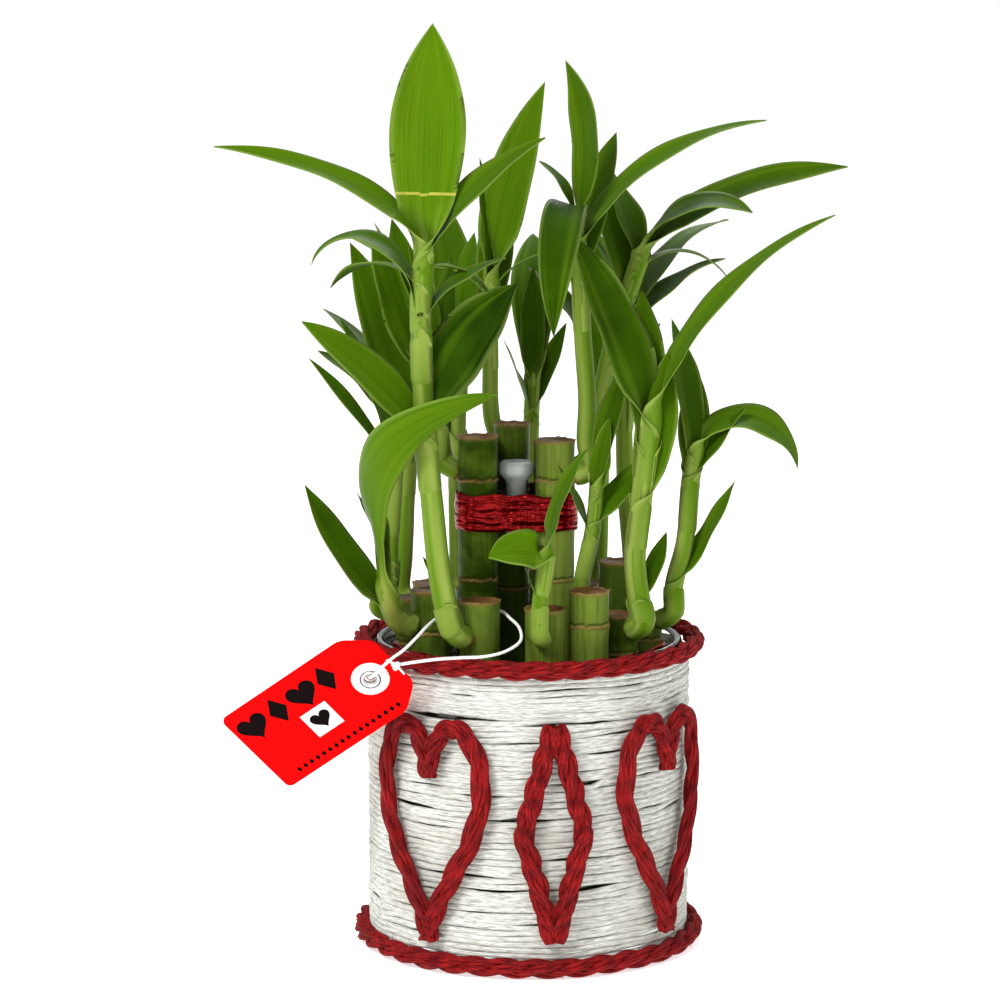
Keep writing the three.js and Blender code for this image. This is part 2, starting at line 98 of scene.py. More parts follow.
def new_finish(name):
    """An empty material for a piece, and the function that adds nodes to it."""
    finish = bpy.data.materials.new(name)
    finish.use_nodes = True
    finish.node_tree.nodes.clear()
    return finish, lambda kind, inputs=None, **settings: node(finish, kind, inputs, **settings)


def through(points, share):
    """The place at a share, 0 to 1, of the smooth curve through a list of points."""
    reach = share * (len(points) - 1)
    i = min(int(reach), len(points) - 2)
    part = reach - i
    before = points[i - 1] if i else 2 * points[0] - points[1]
    start, end = points[i], points[i + 1]
    after = points[i + 2] if i + 2 < len(points) else 2 * end - start
    a, b, c = [(q - p).length ** 0.5 for p, q in ((before, start), (start, end), (end, after))]
    leave = ((start - before) / a - (end - before) / (a + b) + (end - start) / b) * b
    arrive = ((end - start) / b - (after - start) / (b + c) + (after - end) / c) * b
    bend = -3 * start + 3 * end - 2 * leave - arrive
    return start + part * (leave + part * (bend + part * (2 * start - 2 * end + leave + arrive)))


def carried(points, radius=1.0):
    """Stations for a tube along points: each is a centre and the two half axes of its section."""
    stations = []
    out = None
    for i, point in enumerate(points):
        ahead = (points[min(i + 1, len(points) - 1)] - points[max(i - 1, 0)]).normalized()
        out = ahead.orthogonal() if out is None else out - out.dot(ahead) * ahead
        out.normalize()
        size = radius(i / (len(points) - 1)) if callable(radius) else radius
        stations.append((point, out * size, ahead.cross(out) * size))
    return stations


def tube(bm, stations, sides, swell=None):
    """Bends a grid into a closed tube through its stations. swell scales it by step and angle. Its UV
    is in metres along and round the tube. Returns the new vertices, each with its step."""
    steps = len(stations) - 1
    old = len(bm.faces)
    skin = bmesh.ops.create_grid(bm, x_segments=steps, y_segments=sides, size=0.5, calc_uvs=True)["verts"]
    length = sum((q[0] - p[0]).length for p, q in zip(stations, stations[1:]))
    girth = math.pi * (stations[steps // 2][1].length + stations[steps // 2][2].length)
    bm.faces.ensure_lookup_table()
    sheet = bm.loops.layers.uv.active
    for face in bm.faces[old:]:
        face.smooth = True
        for loop in face.loops:
            loop[sheet].uv = ((loop.vert.co.x + 0.5) * length, (loop.vert.co.y + 0.5) * girth)
    placed = []
    for vert in skin:
        step = round((vert.co.x + 0.5) * steps)
        angle = (vert.co.y + 0.5) * math.tau
        centre, out, side = stations[step]
        size = swell(step, angle) if swell else 1.0
        vert.co = centre + size * (math.cos(angle) * out + math.sin(angle) * side)
        placed.append((vert, step))
    bmesh.ops.remove_doubles(bm, verts=skin, dist=WELD)
    placed = [(vert, step) for vert, step in placed if vert.is_valid]
    tips = [vert for vert, step in placed if step in (0, steps)]
    ends = {edge for vert in tips for edge in vert.link_edges if edge.is_boundary}
    bmesh.ops.holes_fill(bm, edges=list(ends), sides=sides)
    return placed


def new_skin():
    """An empty bmesh with a UV map."""
    bm = bmesh.new()
    bm.loops.layers.uv.new("UVMap")
    return bm


def piece(name, bm, slot, finishes, *stands_for):
    """Makes a bmesh a piece of the object, in place of the frame's plain solids."""
    bmesh.ops.recalc_face_normals(bm, faces=bm.faces)
    mesh = bpy.data.meshes.new(name)
    bm.to_mesh(mesh)
    bm.free()
    for finish in finishes:
        mesh.materials.append(finish)
    made = bpy.data.objects.new(name, mesh)
    bpy.context.scene.collection.objects.link(made)
    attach(made, "root")
    if stands_for:
        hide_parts(*stands_for)
    return made


# Spun cotton: matt and pure white, with fine slanted fibres.
cotton, add = new_finish("spun_cotton_string")
fibre = add("ShaderNodeTexNoise", {
    "Vector": add("ShaderNodeMapping", {
        "Vector": add("ShaderNodeTexCoord").outputs["UV"], "Scale": (2500, 9000, 1), "Rotation": (0, 0, 0.5),
    }).outputs[0], "Scale": 1.0, "Detail": 2.0})
add("ShaderNodeOutputMaterial", {"Surface": add("ShaderNodeBsdfPrincipled", {
    "Base Color": colour("#f7f7f3"), "Roughness": 0.85, "Specular IOR Level": 0.2,
    "Normal": add("ShaderNodeBump", {
        "Height": fibre.outputs["Fac"], "Strength": 0.5, "Distance": 0.1 * MM}).outputs[0],
}).outputs[0]})

string_steps = 10 * (len(STRING_ROUTE) - 1)
string_path = [through(STRING_ROUTE, i / string_steps) for i in range(string_steps + 1)]
string_length = sum((q - p).length for p, q in zip(string_path, string_path[1:]))
string_turns = string_length / STRING_LAY


def two_ply(step, angle):
    return 0.84 + 0.16 * abs(math.cos(angle - math.tau * string_turns * step / string_steps))


bm = new_skin()
tube(bm, carried(string_path, STRING_DIAMETER / 2), 14, two_ply)
tag_cord = piece("tag_cord", bm, "white_string", [cotton], "tag_string")

# ---- Knots of the string
# A small overhand knot with two short tails where the string meets itself, and a larger one that stops
# it behind the card's hole.
LOOP_KNOT = Vector((-0.0398, -0.0552, 0.097))
TAIL_THICKNESS = 0.42 * MM
knot_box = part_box("stopper_knot")
STOPPER_KNOT = (Vector(knot_box[0]) + Vector(knot_box[1])) / 2


def overhand(bm, centre, size, thickness):
    """A tube tied in the closed form of an overhand knot."""
    turns = [math.tau * i / 60 for i in range(61)]
    path = [centre + size / 3 * Vector((math.sin(t) + 2 * math.sin(2 * t), -1.4 * math.sin(3 * t),
                                        math.cos(t) - 2 * math.cos(2 * t))) for t in turns]
    stations = []
    for i in range(61):
        ahead = (path[(i + 1) % 60] - path[(i - 1) % 60]).normalized()
        out = ahead.cross((path[i] - centre).normalized()).normalized()
        stations.append((path[i], out * thickness, ahead.cross(out) * thickness))
    tube(bm, stations, 8)


bm = new_skin()
overhand(bm, LOOP_KNOT, 1.1 * MM, TAIL_THICKNESS)
for tail in ((-2.8, -0.9, 1.9), (2.6, -1.0, -2.4)):
    tip = LOOP_KNOT + MM * Vector(tail)
    middle = (LOOP_KNOT + tip) / 2 + Vector((0, -0.5 * MM, 0.3 * MM))
    path = [through([LOOP_KNOT, middle, tip], i / 10) for i in range(11)]
    tube(bm, carried(path, lambda along: TAIL_THICKNESS * (1 - 0.3 * along)), 8)
loop_knot = piece("loop_knot", bm, "white_string", [cotton], "string_knot")
bm = new_skin()
overhand(bm, STOPPER_KNOT, 1.8 * MM, 1.0 * MM)
end_knot = piece("end_knot", bm, "white_string", [cotton], "stopper_knot")

# ---- Hang tag
# A die-cut card, red all through, with rounded corners at its foot and clipped ones at its head, printed
# on the front with hearts and lozenges in black and one heart on a white square.
TAG_HOLE = Vector((-0.0475, -0.0505, 0.0928))
TAG_ALONG = Vector((0.786, -0.235, 0.571)).normalized()
TAG_FACE = TAG_ALONG.cross(Vector((-0.618, -0.325, 0.716))).normalized()
TAG_FRAME = Matrix((TAG_ALONG, TAG_FACE.cross(TAG_ALONG), TAG_FACE)).transposed().to_4x4()
TAG_FRAME.translation = TAG_HOLE
CARD_OUTLINE = ((-45, -16), (1, -16), (9, -9.5), (9, 9.5), (1, 16), (-45, 16))
CARD_THICKNESS = 0.8 * MM
HOLE_RADIUS = 2.2 * MM
INK_THICKNESS = 0.05 * MM
RED_CARD, INK, WHITE_PRINT = 0, 1, 2


def plate(bm, outline, low, high, face_finish=0, corner=0.0, hole=0.0):
    """A flat plate from an outline in millimetres, with rounded corners and a round hole if given."""
    verts = [bm.verts.new((x * MM, y * MM, low)) for x, y in outline]
    bm.faces.new(verts)
    if corner:
        verts = bmesh.ops.bevel(bm, geom=verts, offset=corner, segments=5, profile=0.5,
                                affect="VERTICES", material=-1)["verts"]
    rim = [edge for edge in bm.edges if all(vert in verts for vert in edge.verts)]
    if hole:
        bmesh.ops.delete(bm, geom=list(rim[0].link_faces), context="FACES_ONLY")
        ring = bmesh.ops.create_circle(bm, segments=32, radius=hole)["verts"]
        bmesh.ops.translate(bm, verts=ring, vec=(0, 0, low))
        rim += [edge for edge in bm.edges if edge.verts[0] in ring]
        sheet = bmesh.ops.triangle_fill(bm, use_beauty=True, edges=rim)["geom"]
        flat = [item for item in sheet if isinstance(item, bmesh.types.BMFace)]
    else:
        flat = list({face for edge in rim for face in edge.link_faces})
    raised = bmesh.ops.extrude_face_region(bm, geom=flat, use_keep_orig=True)["geom"]
    for item in raised:
        if isinstance(item, bmesh.types.BMVert):
            item.co.z = high
    for face in bm.faces:
        if all(low - 1e-9 <= vert.co.z <= high + 1e-9 for vert in face.verts) and not face.tag:
            face.material_index = face_finish
            face.tag = True


def heart_outline(x, y, size):
    """A heart, size millimetres high, whose point is towards -y."""
    turns = [math.tau * (i + 0.5) / 28 for i in range(28)]
    return [(x + size / 30 * 16 * math.sin(t) ** 3, y + size / 30 * (
        13 * math.cos(t) - 5 * math.cos(2 * t) - 2 * math.cos(3 * t) - math.cos(4 * t) + 2)) for t in turns]


def lozenge_outline(x, y, width, height):
    return [(x - width / 2, y), (x, y - height / 2), (x + width / 2, y), (x, y + height / 2)]


bm = new_skin()
plate(bm, CARD_OUTLINE, 0, CARD_THICKNESS, RED_CARD, 2 * MM, HOLE_RADIUS)
ink_top = CARD_THICKNESS + INK_THICKNESS
for x in (-38.5, -19.5):
    plate(bm, heart_outline(x, 7.6, 9.5), CARD_THICKNESS, ink_top, INK)
for x in (-29, -10.5):
    plate(bm, lozenge_outline(x, 8.2, 6.4, 10), CARD_THICKNESS, ink_top, INK)
plate(bm, [(-25.6, -7.2), (-16, -7.2), (-16, 2.2), (-25.6, 2.2)], CARD_THICKNESS, ink_top, WHITE_PRINT)
plate(bm, heart_outline(-20.8, -2.6, 6.4), ink_top, ink_top + INK_THICKNESS, INK)
for i in range(17):
    plate(bm, lozenge_outline(-38 + 2.4 * i, -12.6, 1.5, 2.2), CARD_THICKNESS, ink_top, INK)
bm.transform(TAG_FRAME)

# Coated card: a smooth, faintly glossy red with the fine tooth of pressed paper.
coated, add = new_finish("coated_red_card")
tooth = add("ShaderNodeTexNoise", {
    "Vector": add("ShaderNodeTexCoord").outputs["Object"], "Scale": 1600.0, "Detail": 3.0})
add("ShaderNodeOutputMaterial", {"Surface": add("ShaderNodeBsdfPrincipled", {
    "Base Color": add("ShaderNodeMix", {
        0: tooth.outputs["Fac"], 6: colour("#e80203"), 7: colour("#f80304")}, data_type="RGBA").outputs[2],
    "Roughness": 0.6, "Specular IOR Level": 0.03,
    "Normal": add("ShaderNodeBump", {
        "Height": tooth.outputs["Fac"], "Strength": 0.15, "Distance": 0.05 * MM}).outputs[0],
}).outputs[0]})

# Printing inks: a thin satin black and an opaque white, slightly broken where the paper's tooth shows.
inks = []
for name, worn, full, roughness, gloss in (("black_printing_ink", "#080404", "#160808", 0.65, 0.04),
                                           ("white_printing_ink", "#efefed", "#fbfbfb", 0.55, 0.5)):
    ink, add = new_finish(name)
    broken = add("ShaderNodeTexNoise", {
        "Vector": add("ShaderNodeTexCoord").outputs["Object"], "Scale": 2400.0, "Detail": 2.0})
    add("ShaderNodeOutputMaterial", {"Surface": add("ShaderNodeBsdfPrincipled", {
        "Base Color": add("ShaderNodeMix", {
            0: broken.outputs["Fac"], 6: colour(worn), 7: colour(full)}, data_type="RGBA").outputs[2],
        "Roughness": roughness, "Specular IOR Level": gloss}).outputs[0]})
    inks.append(ink)
tag_card = piece("printed_card", bm, "red_card", [coated, *inks], "gift_tag")
tag_card.data.set_sharp_from_angle(angle=math.radians(30))

# ---- Washer
# A moulded white plastic washer round the hole, crowned. A rolled metal eyelet inside it lines the hole,
# with a narrow groove between the two that is coloured near-black as painted shade.
WASHER_RADIUS = 5.8 * MM
WASHER_LOW = CARD_THICKNESS + 0.3 * MM
WASHER_HIGH = WASHER_LOW + 0.6 * MM
GROOVE_OUTSIDE = 3.15 * MM
GROOVE_INSIDE = 2.83 * MM


def lathe(bm, profile, sides):
    """Spins a profile of (radius, height) points about +Z and closes its poles."""
    verts = [bm.verts.new((radius, 0, height)) for radius, height in profile]
    edges = [bm.edges.new(pair) for pair in zip(verts, verts[1:])]
    if profile[0] != profile[-1] and profile[0][0] > 0:
        edges.append(bm.edges.new((verts[-1], verts[0])))
    bmesh.ops.spin(bm, geom=verts + edges, axis=(0, 0, 1), cent=(0, 0, 0), angle=math.tau, steps=sides,
                   use_merge=True, use_duplicate=False)
    bmesh.ops.remove_doubles(bm, verts=bm.verts, dist=WELD)
    for face in bm.faces:
        face.smooth = True


barrel_outside, barrel_inside = HOLE_RADIUS - 0.1 * MM, HOLE_RADIUS - 0.35 * MM
barrel = [(barrel_inside, -0.1 * MM), (barrel_outside, -0.1 * MM), (barrel_outside, WASHER_LOW)]
disc = [(WASHER_RADIUS - 0.1 * MM, WASHER_LOW), (WASHER_RADIUS, WASHER_LOW + 0.15 * MM),
        (WASHER_RADIUS - 0.4 * MM, WASHER_HIGH - 0.1 * MM)]
crown = [(radius * MM, WASHER_HIGH + rise * MM) for radius, rise in (
    (4.4, 0), (3.2, -0.05), (3.05, -0.25), (2.85, -0.25), (2.8, 0.1), (2.6, 0.25), (2.25, 0.15))]
bm = new_skin()
lathe(bm, barrel + disc + crown + [(barrel_inside, WASHER_HIGH - 0.2 * MM)], 48)
# Faces in the groove take the near-black finish of painted shade, and those inside it take the eyelet's
# metal.
for face in bm.faces:
    middle = face.calc_center_median()
    out = math.hypot(middle.x, middle.y)
    face.material_index = 0 if out > GROOVE_OUTSIDE else 1 + (out < GROOVE_INSIDE)
bm.transform(TAG_FRAME)

# Moulded polypropylene: white, with a low sheen.
moulded, add = new_finish("moulded_white_plastic")
ripple = add("ShaderNodeTexNoise", {
    "Vector": add("ShaderNodeTexCoord").outputs["Object"], "Scale": 500.0, "Detail": 1.0})
add("ShaderNodeOutputMaterial", {"Surface": add("ShaderNodeBsdfPrincipled", {
    "Base Color": colour("#f4f4f2"), "Roughness": 0.35,
    "Normal": add("ShaderNodeBump", {
        "Height": ripple.outputs["Fac"], "Strength": 0.1, "Distance": 0.1 * MM}).outputs[0],
}).outputs[0]})
# Nickelled brass: a rolled eyelet, bright silver on its roll. The groove round it gets a near-black finish
# of painted shade.
eyelet_metal_and_groove_shade = []
for name, dull, bright in (("groove_painted_shade", "#101012", "#38383c"),
                           ("nickelled_brass_eyelet", "#b9bbba", "#e8eae8")):
    metal, add = new_finish(name)
    rubbed = add("ShaderNodeTexNoise", {
        "Vector": add("ShaderNodeTexCoord").outputs["Object"], "Scale": 900.0, "Detail": 2.0})
    add("ShaderNodeOutputMaterial", {"Surface": add("ShaderNodeBsdfPrincipled", {
        "Base Color": add("ShaderNodeMix", {
            0: rubbed.outputs["Fac"], 6: colour(dull), 7: colour(bright)}, data_type="RGBA").outputs[2],
        "Metallic": 0.25, "Roughness": 0.25}).outputs[0]})
    eyelet_metal_and_groove_shade.append(metal)
tag_washer = piece("eyelet_washer", bm, "white_plastic", [moulded, *eyelet_metal_and_groove_shade], "tag_washer")

# ---- Vase
# A blown cylinder of soda-lime glass with a thick foot and a fire-polished rim.
VASE_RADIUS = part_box("glass_vase")[1][0]
VASE_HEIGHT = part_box("glass_vase")[1][2]
GLASS_WALL = 2.4 * MM
GLASS_FLOOR = 4 * MM
FOOT_ROUND = 1.5 * MM
FLOOR_ROUND = 3 * MM


def rounded(centre, radius, start, end, steps=6):
    """Points of an arc between two angles in degrees, for a lathe profile."""
    angles = [math.radians(start + (end - start) * i / steps) for i in range(steps + 1)]
    return [(centre[0] + radius * math.cos(a), centre[1] + radius * math.sin(a)) for a in angles]


inside = VASE_RADIUS - GLASS_WALL
bm = new_skin()
lathe(bm, [(0, 0), (VASE_RADIUS - 4 * MM, 0)]
      + rounded((VASE_RADIUS - FOOT_ROUND, FOOT_ROUND), FOOT_ROUND, -90, 0)
      + rounded((VASE_RADIUS - GLASS_WALL / 2, VASE_HEIGHT - GLASS_WALL / 2), GLASS_WALL / 2, 0, 180, 10)
      + rounded((inside - FLOOR_ROUND, GLASS_FLOOR + FLOOR_ROUND), FLOOR_ROUND, 0, -90)
      + [(0, GLASS_FLOOR)], 96)
# Soda-lime glass: clear, faintly green, with the slight ripple of blown ware.
soda_lime, add = new_finish("blown_soda_lime_glass")
ripple = add("ShaderNodeTexNoise", {
    "Vector": add("ShaderNodeTexCoord").outputs["Object"], "Scale": 60.0, "Detail": 1.0})
add("ShaderNodeOutputMaterial", {"Surface": add("ShaderNodeBsdfPrincipled", {
    "Base Color": colour("#f1f8f5"), "Roughness": 0.03, "IOR": 1.5, "Transmission Weight": 1.0,
    "Normal": add("ShaderNodeBump", {
        "Height": ripple.outputs["Fac"], "Strength": 0.1, "Distance": 0.5 * MM}).outputs[0],
}).outputs[0]})
piece("blown_vase", bm, "glass", [soda_lime], "glass_vase")

# ---- Pebbles
# River pebbles about 9 mm across, poured in to hold the stalks upright. They lie in four loose layers.
PEBBLE_RADIUS = 4.4 * MM
PEBBLE_REACH = 0.8 * PEBBLE_RADIUS        # from a pebble's middle to where the next layer or the glass lies
PEBBLE_LAYERS = 4
pebble_low, pebble_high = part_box("pebble_bed")
draw = random.Random(7)
bm = new_skin()
shade = bm.verts.layers.float.new("tone")
rise = (pebble_high[2] - pebble_low[2] - 2 * PEBBLE_REACH) / (PEBBLE_LAYERS - 1)
for layer in range(PEBBLE_LAYERS):
    height = pebble_low[2] + PEBBLE_REACH + layer * rise
    for row in range(-6, 7):
        for column in range(-6, 7):
            x = 2 * PEBBLE_RADIUS * (column + 0.5 * (row % 2) + 0.3 * layer) + draw.uniform(-1, 1) * MM
            y = 1.74 * PEBBLE_RADIUS * (row + 0.4 * layer) + draw.uniform(-1, 1) * MM
            if math.hypot(x, y) > pebble_high[0] - PEBBLE_REACH:
                continue
            stone = bmesh.ops.create_icosphere(bm, subdivisions=2, radius=PEBBLE_RADIUS)["verts"]
            tone = draw.random()
            scale = Vector((draw.uniform(0.8, 1.1), draw.uniform(0.75, 1.0), draw.uniform(0.6, 0.8)))
            bmesh.ops.scale(bm, verts=stone, vec=scale)
            bmesh.ops.rotate(bm, verts=stone, cent=(0, 0, 0),
                             matrix=Matrix.Rotation(draw.uniform(0, math.tau), 3, "Z"))
            for vert in stone:
                spot = vert.co / PEBBLE_RADIUS * 1.3 + Vector((x, y, height)) * 500
                vert.co *= 1 + 0.12 * noise.noise(spot)
                vert[shade] = tone
            bmesh.ops.translate(bm, verts=stone, vec=(x, y, height))
for face in bm.faces:
    face.smooth = True
# River pebble: tumbled grey and brown stone, damp, with fine mineral speckle.
pebble, add = new_finish("tumbled_river_pebble")
speckle = add("ShaderNodeTexNoise", {
    "Vector": add("ShaderNodeTexCoord").outputs["Object"], "Scale": 700.0, "Detail": 4.0})
stone_colour = add("ShaderNodeMix", {
    0: add("ShaderNodeAttribute", attribute_name="tone").outputs["Fac"],
    6: colour("#4b4741"), 7: colour("#8c8271")}, data_type="RGBA")
add("ShaderNodeOutputMaterial", {"Surface": add("ShaderNodeBsdfPrincipled", {
    "Base Color": add("ShaderNodeMix", {
        0: speckle.outputs["Fac"], 6: stone_colour.outputs[2], 7: colour("#37322c")},
        data_type="RGBA").outputs[2],
    "Roughness": 0.4,
    "Normal": add("ShaderNodeBump", {
        "Height": speckle.outputs["Fac"], "Strength": 0.3, "Distance": 0.2 * MM}).outputs[0],
}).outputs[0]})
piece("river_pebbles", bm, "pebbles", [pebble], "pebble_bed")

# ---- Twine winding
# Bleached jute twine, 2 mm thick, wound by hand round the glass from foot to rim. Its turns wander, part
# here and there so that dark slits show between them, and loose lengths cross over the rest.
TWINE_RADIUS = 0.98 * MM
twine_low, twine_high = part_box("white_twine_wrap")
TWINE_CENTRE = VASE_RADIUS + 0.35 * MM + TWINE_RADIUS
TWINE_TURNS = 50
TWINE_STEPS = 90
WOUND_LOW = twine_low[2] - 4.5 * MM        # the first and last turns lie under the rope borders
WOUND_HIGH = twine_high[2] + 2.5 * MM
draw = random.Random(21)
slits = [(draw.uniform(0, math.tau), draw.uniform(0.08, 0.96),
          draw.uniform(0.08, 0.4), draw.uniform(0.4, 1.0)) for _ in range(85)]


def wander(angle, height, turn):
    """How far a turn of twine strays up or down at a place: a drift that it shares with its neighbours,
    one of its own, and the slits it is parted by."""
    around = Vector((math.cos(angle), math.sin(angle), height / (30 * MM)))
    drift = 0.5 * noise.noise(around * 2.1)
    drift += 0.62 * noise.noise(Vector((2.2 * math.cos(angle), 2.2 * math.sin(angle), 5.3 * turn)))
    share = (height - WOUND_LOW) / (WOUND_HIGH - WOUND_LOW)
    for heading, level, spread, push in slits:
        aside = (angle - heading + math.pi) % math.tau - math.pi
        if abs(aside) < spread:
            gap = (share - level) * (WOUND_HIGH - WOUND_LOW)
            parted = math.cos(aside / spread * math.pi / 2) ** 0.6 * (0.8 + 0.5 * noise.noise(around * 9))
            drift += math.copysign(push * parted * math.exp(-abs(gap) / (2.6 * MM)), gap)
    return drift * MM


def twine_station(angle, height, radius):
    """The centre of a strand on the glass and the outward direction there."""
    out = Vector((math.cos(angle), math.sin(angle), 0))
    stray = 0.2 * MM * noise.noise(Vector((7 * math.cos(angle), 7 * math.sin(angle), height / MM)))
    return out * (radius + stray) + Vector((0, 0, height)), out


UP = Vector((0, 0, 1))
bm = new_skin()
stations = []
count = TWINE_TURNS * TWINE_STEPS
for i in range(count + 1):
    angle = math.tau * i / TWINE_STEPS
    along = i / count
    height = WOUND_LOW + TWINE_RADIUS + along * (WOUND_HIGH - WOUND_LOW - 2 * TWINE_RADIUS)
    settle = min(1, 25 * along, 25 * (1 - along))
    strayed = height + settle * wander(angle % math.tau, height, i / TWINE_STEPS)
    centre, out = twine_station(angle, strayed, TWINE_CENTRE)
    stations.append((centre, out * TWINE_RADIUS, UP * TWINE_RADIUS))
tube(bm, stations, 8, lambda step, angle: 1 + 0.1 * math.cos(2 * angle - 0.9 * step)
     + 0.2 * noise.noise(Vector((0.3 * step, 0, 0))))
for _ in range(22):
    start, sweep = draw.uniform(0, math.tau), draw.uniform(0.7, 2.6)
    level = draw.uniform(twine_low[2] + 6 * MM, twine_high[2] - 6 * MM)
    climb = draw.uniform(-5, 5) * MM
    steps = int(sweep * 18)
    stations = []
    for i in range(steps + 1):
        along = i / steps
        sink = 1.5 * MM * (1 - min(1, 7 * along, 7 * (1 - along)))
        centre, out = twine_station(
            start + sweep * along, level + climb * (along + 0.15 * math.sin(6 * along)),
            TWINE_CENTRE + 0.7 * MM - sink)
        stations.append((centre, out * 0.6 * TWINE_RADIUS, UP * 0.8 * TWINE_RADIUS))
    tube(bm, stations, 7)


def fibrous(name, fibre_and_highlight, middle, parting_shade, blotch_colour, lay):
    """Twisted plant fibre: matt, with long fibres of three tones lying at a slant across the strand. The dark
    tone, where the fibres part and the bump sinks, is painted shade, and the light one on the raised fibres
    is partly painted highlight. A darker colour lies in patches a few centimetres wide."""
    finish, add = new_finish(name)
    place = add("ShaderNodeTexCoord")
    slant = add("ShaderNodeMapping", {
        "Vector": place.outputs["UV"], "Scale": (260, 2600, 1), "Rotation": (0, 0, lay)})
    fibre = add("ShaderNodeTexNoise", {
        "Vector": slant.outputs[0], "Scale": 1.0, "Detail": 4.0, "Roughness": 0.62})
    tuft = add("ShaderNodeTexNoise", {
        "Vector": add("ShaderNodeMapping", {
            "Vector": place.outputs["UV"], "Scale": (900, 1800, 1)}).outputs[0],
        "Scale": 1.0, "Detail": 2.0})
    # Painted shade: the dark tone is laid where the fibres part; the light tone on the raised fibres is
    # partly painted highlight.
    low = add("ShaderNodeMapRange", {
        "Value": fibre.outputs["Fac"], "From Min": 0.36, "From Max": 0.52})
    high = add("ShaderNodeMapRange", {
        "Value": fibre.outputs["Fac"], "From Min": 0.52, "From Max": 0.68})
    body = add("ShaderNodeMix", {
        0: low.outputs[0], 6: colour(parting_shade), 7: colour(middle)}, data_type="RGBA")
    strand = add("ShaderNodeMix", {
        0: high.outputs[0], 6: body.outputs[2], 7: colour(fibre_and_highlight)}, data_type="RGBA")
    # Darker patches a few centimetres wide, laid by noise.
    patch = add("ShaderNodeTexNoise", {
        "Vector": place.outputs["Object"], "Scale": 38.0, "Detail": 2.0})
    blotched = add("ShaderNodeMapRange", {
        "Value": patch.outputs["Fac"], "From Min": 0.5, "From Max": 0.75, "To Max": 0.6})
    base = add("ShaderNodeMix", {
        0: blotched.outputs[0], 6: strand.outputs[2], 7: colour(blotch_colour)}, data_type="RGBA")
    height = add("ShaderNodeMath", {
        0: fibre.outputs["Fac"], 1: tuft.outputs["Fac"]}, operation="ADD")
    add("ShaderNodeOutputMaterial", {"Surface": add("ShaderNodeBsdfPrincipled", {
        "Base Color": base.outputs[2], "Roughness": 0.8, "Specular IOR Level": 0.18,
        "Normal": add("ShaderNodeBump", {
            "Height": height.outputs[0], "Strength": 0.8, "Distance": 0.4 * MM}).outputs[0],
    }).outputs[0]})
    return finish


bleached_jute = fibrous("bleached_jute_twine", "#f8f9f4", "#e2e4dc", "#a3a59c", "#b6b3a6", 0.15)
piece("twine_winding", bm, "white_twine", [bleached_jute], "white_twine_wrap")

# ---- Rope borders
# Three-ply jute rope, dyed red, glued round the foot and the rim. Each ply is three yarns, so the rope is
# a little lumpy, and short fibres stand out of it.
ROPE_RING = VASE_RADIUS + 4.1 * MM
FIBRE_LOWEST = 0.3 * MM
dyed_jute = fibrous("dyed_jute_rope", "#c0201a", "#8a0b10", "#2c0305", "#5c090d", 0.5)


def lay_rope(bm, stations, plies, sizes, turns, yarn_turns, flat=1.0, sides=7):
    """Lays a rope of three-yarn plies along stations with unit axes. sizes holds the distance of a ply
    from the rope's line, of a yarn from its ply's line, and the yarn's radius; flat presses it in the
    first axis."""
    ply_out, yarn_out, yarn_radius = sizes
    steps = len(stations) - 1
    for strand in range(3 * plies):
        course = []
        for step, (centre, out, side) in enumerate(stations):
            along = step / steps
            swing = math.tau * (turns * along + (strand // 3) / plies)
            twist = math.tau * (yarn_turns * along + (strand % 3) / 3 + 0.13 * (strand // 3))
            across = ply_out * math.cos(swing) + yarn_out * math.cos(twist)
            beside = ply_out * math.sin(swing) + yarn_out * math.sin(twist)
            course.append((centre + out * across * flat + side * beside,
                           out * yarn_radius * flat, side * yarn_radius))
        tube(bm, course, sides, lambda step, angle: 1 + 0.14 * noise.noise(
            Vector((0.12 * step, angle, 3.7 * strand))))


def fray(bm, stations, reach, count, draw):
    """Short bent fibres that stand out of a rope, none of them below the ground."""
    for _ in range(count):
        centre, out, side = stations[draw.randrange(len(stations))]
        turn = draw.uniform(0, math.tau)
        away = math.cos(turn) * out + math.sin(turn) * side
        drift = Vector([draw.uniform(-1, 1) for _ in range(3)])
        root = centre + away * reach * 0.8
        tip = root + away * draw.uniform(0.7, 1.7) * MM + drift * 1.4 * MM
        bend = (root + tip) / 2 + away * 0.5 * MM
        for point in (root, bend, tip):
            point.z = max(point.z, FIBRE_LOWEST)
        path = [through([root, bend, tip], i / 4) for i in range(5)]
        tube(bm, carried(path, lambda along: 0.09 * MM * (1.1 - along)), 3)


draw = random.Random(5)
for name, solid, seed in (("foot_rope", "bottom_rope_border", 0), ("rim_rope", "top_rope_border", 40)):
    low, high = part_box(solid)
    level = (low[2] + high[2]) / 2
    stations = []
    for i in range(361):
        angle = math.tau * i / 360
        out = Vector((math.cos(angle), math.sin(angle), 0))
        sway = 0.3 * MM * noise.noise(out * 2.3 + Vector((0, 0, seed)))
        stations.append((out * ROPE_RING + Vector((0, 0, level + sway)), out, Vector((0, 0, 1))))
    bm = new_skin()
    lay_rope(bm, stations, 3, (1.45 * MM, 0.8 * MM, 0.95 * MM), 11, -7)
    fray(bm, stations, 3 * MM, 130, draw)
    piece(name, bm, "red_rope", [dyed_jute], solid)

# ---- Rope shapes
# Two hearts and a lozenge of three-ply red jute rope, pressed flat and glued on the front of the twine.
# Each is two mirrored lengths that meet at the top and at the point.
MOTIF_FACE = 53.5 * MM
TWINE_FACE = 50.7 * MM


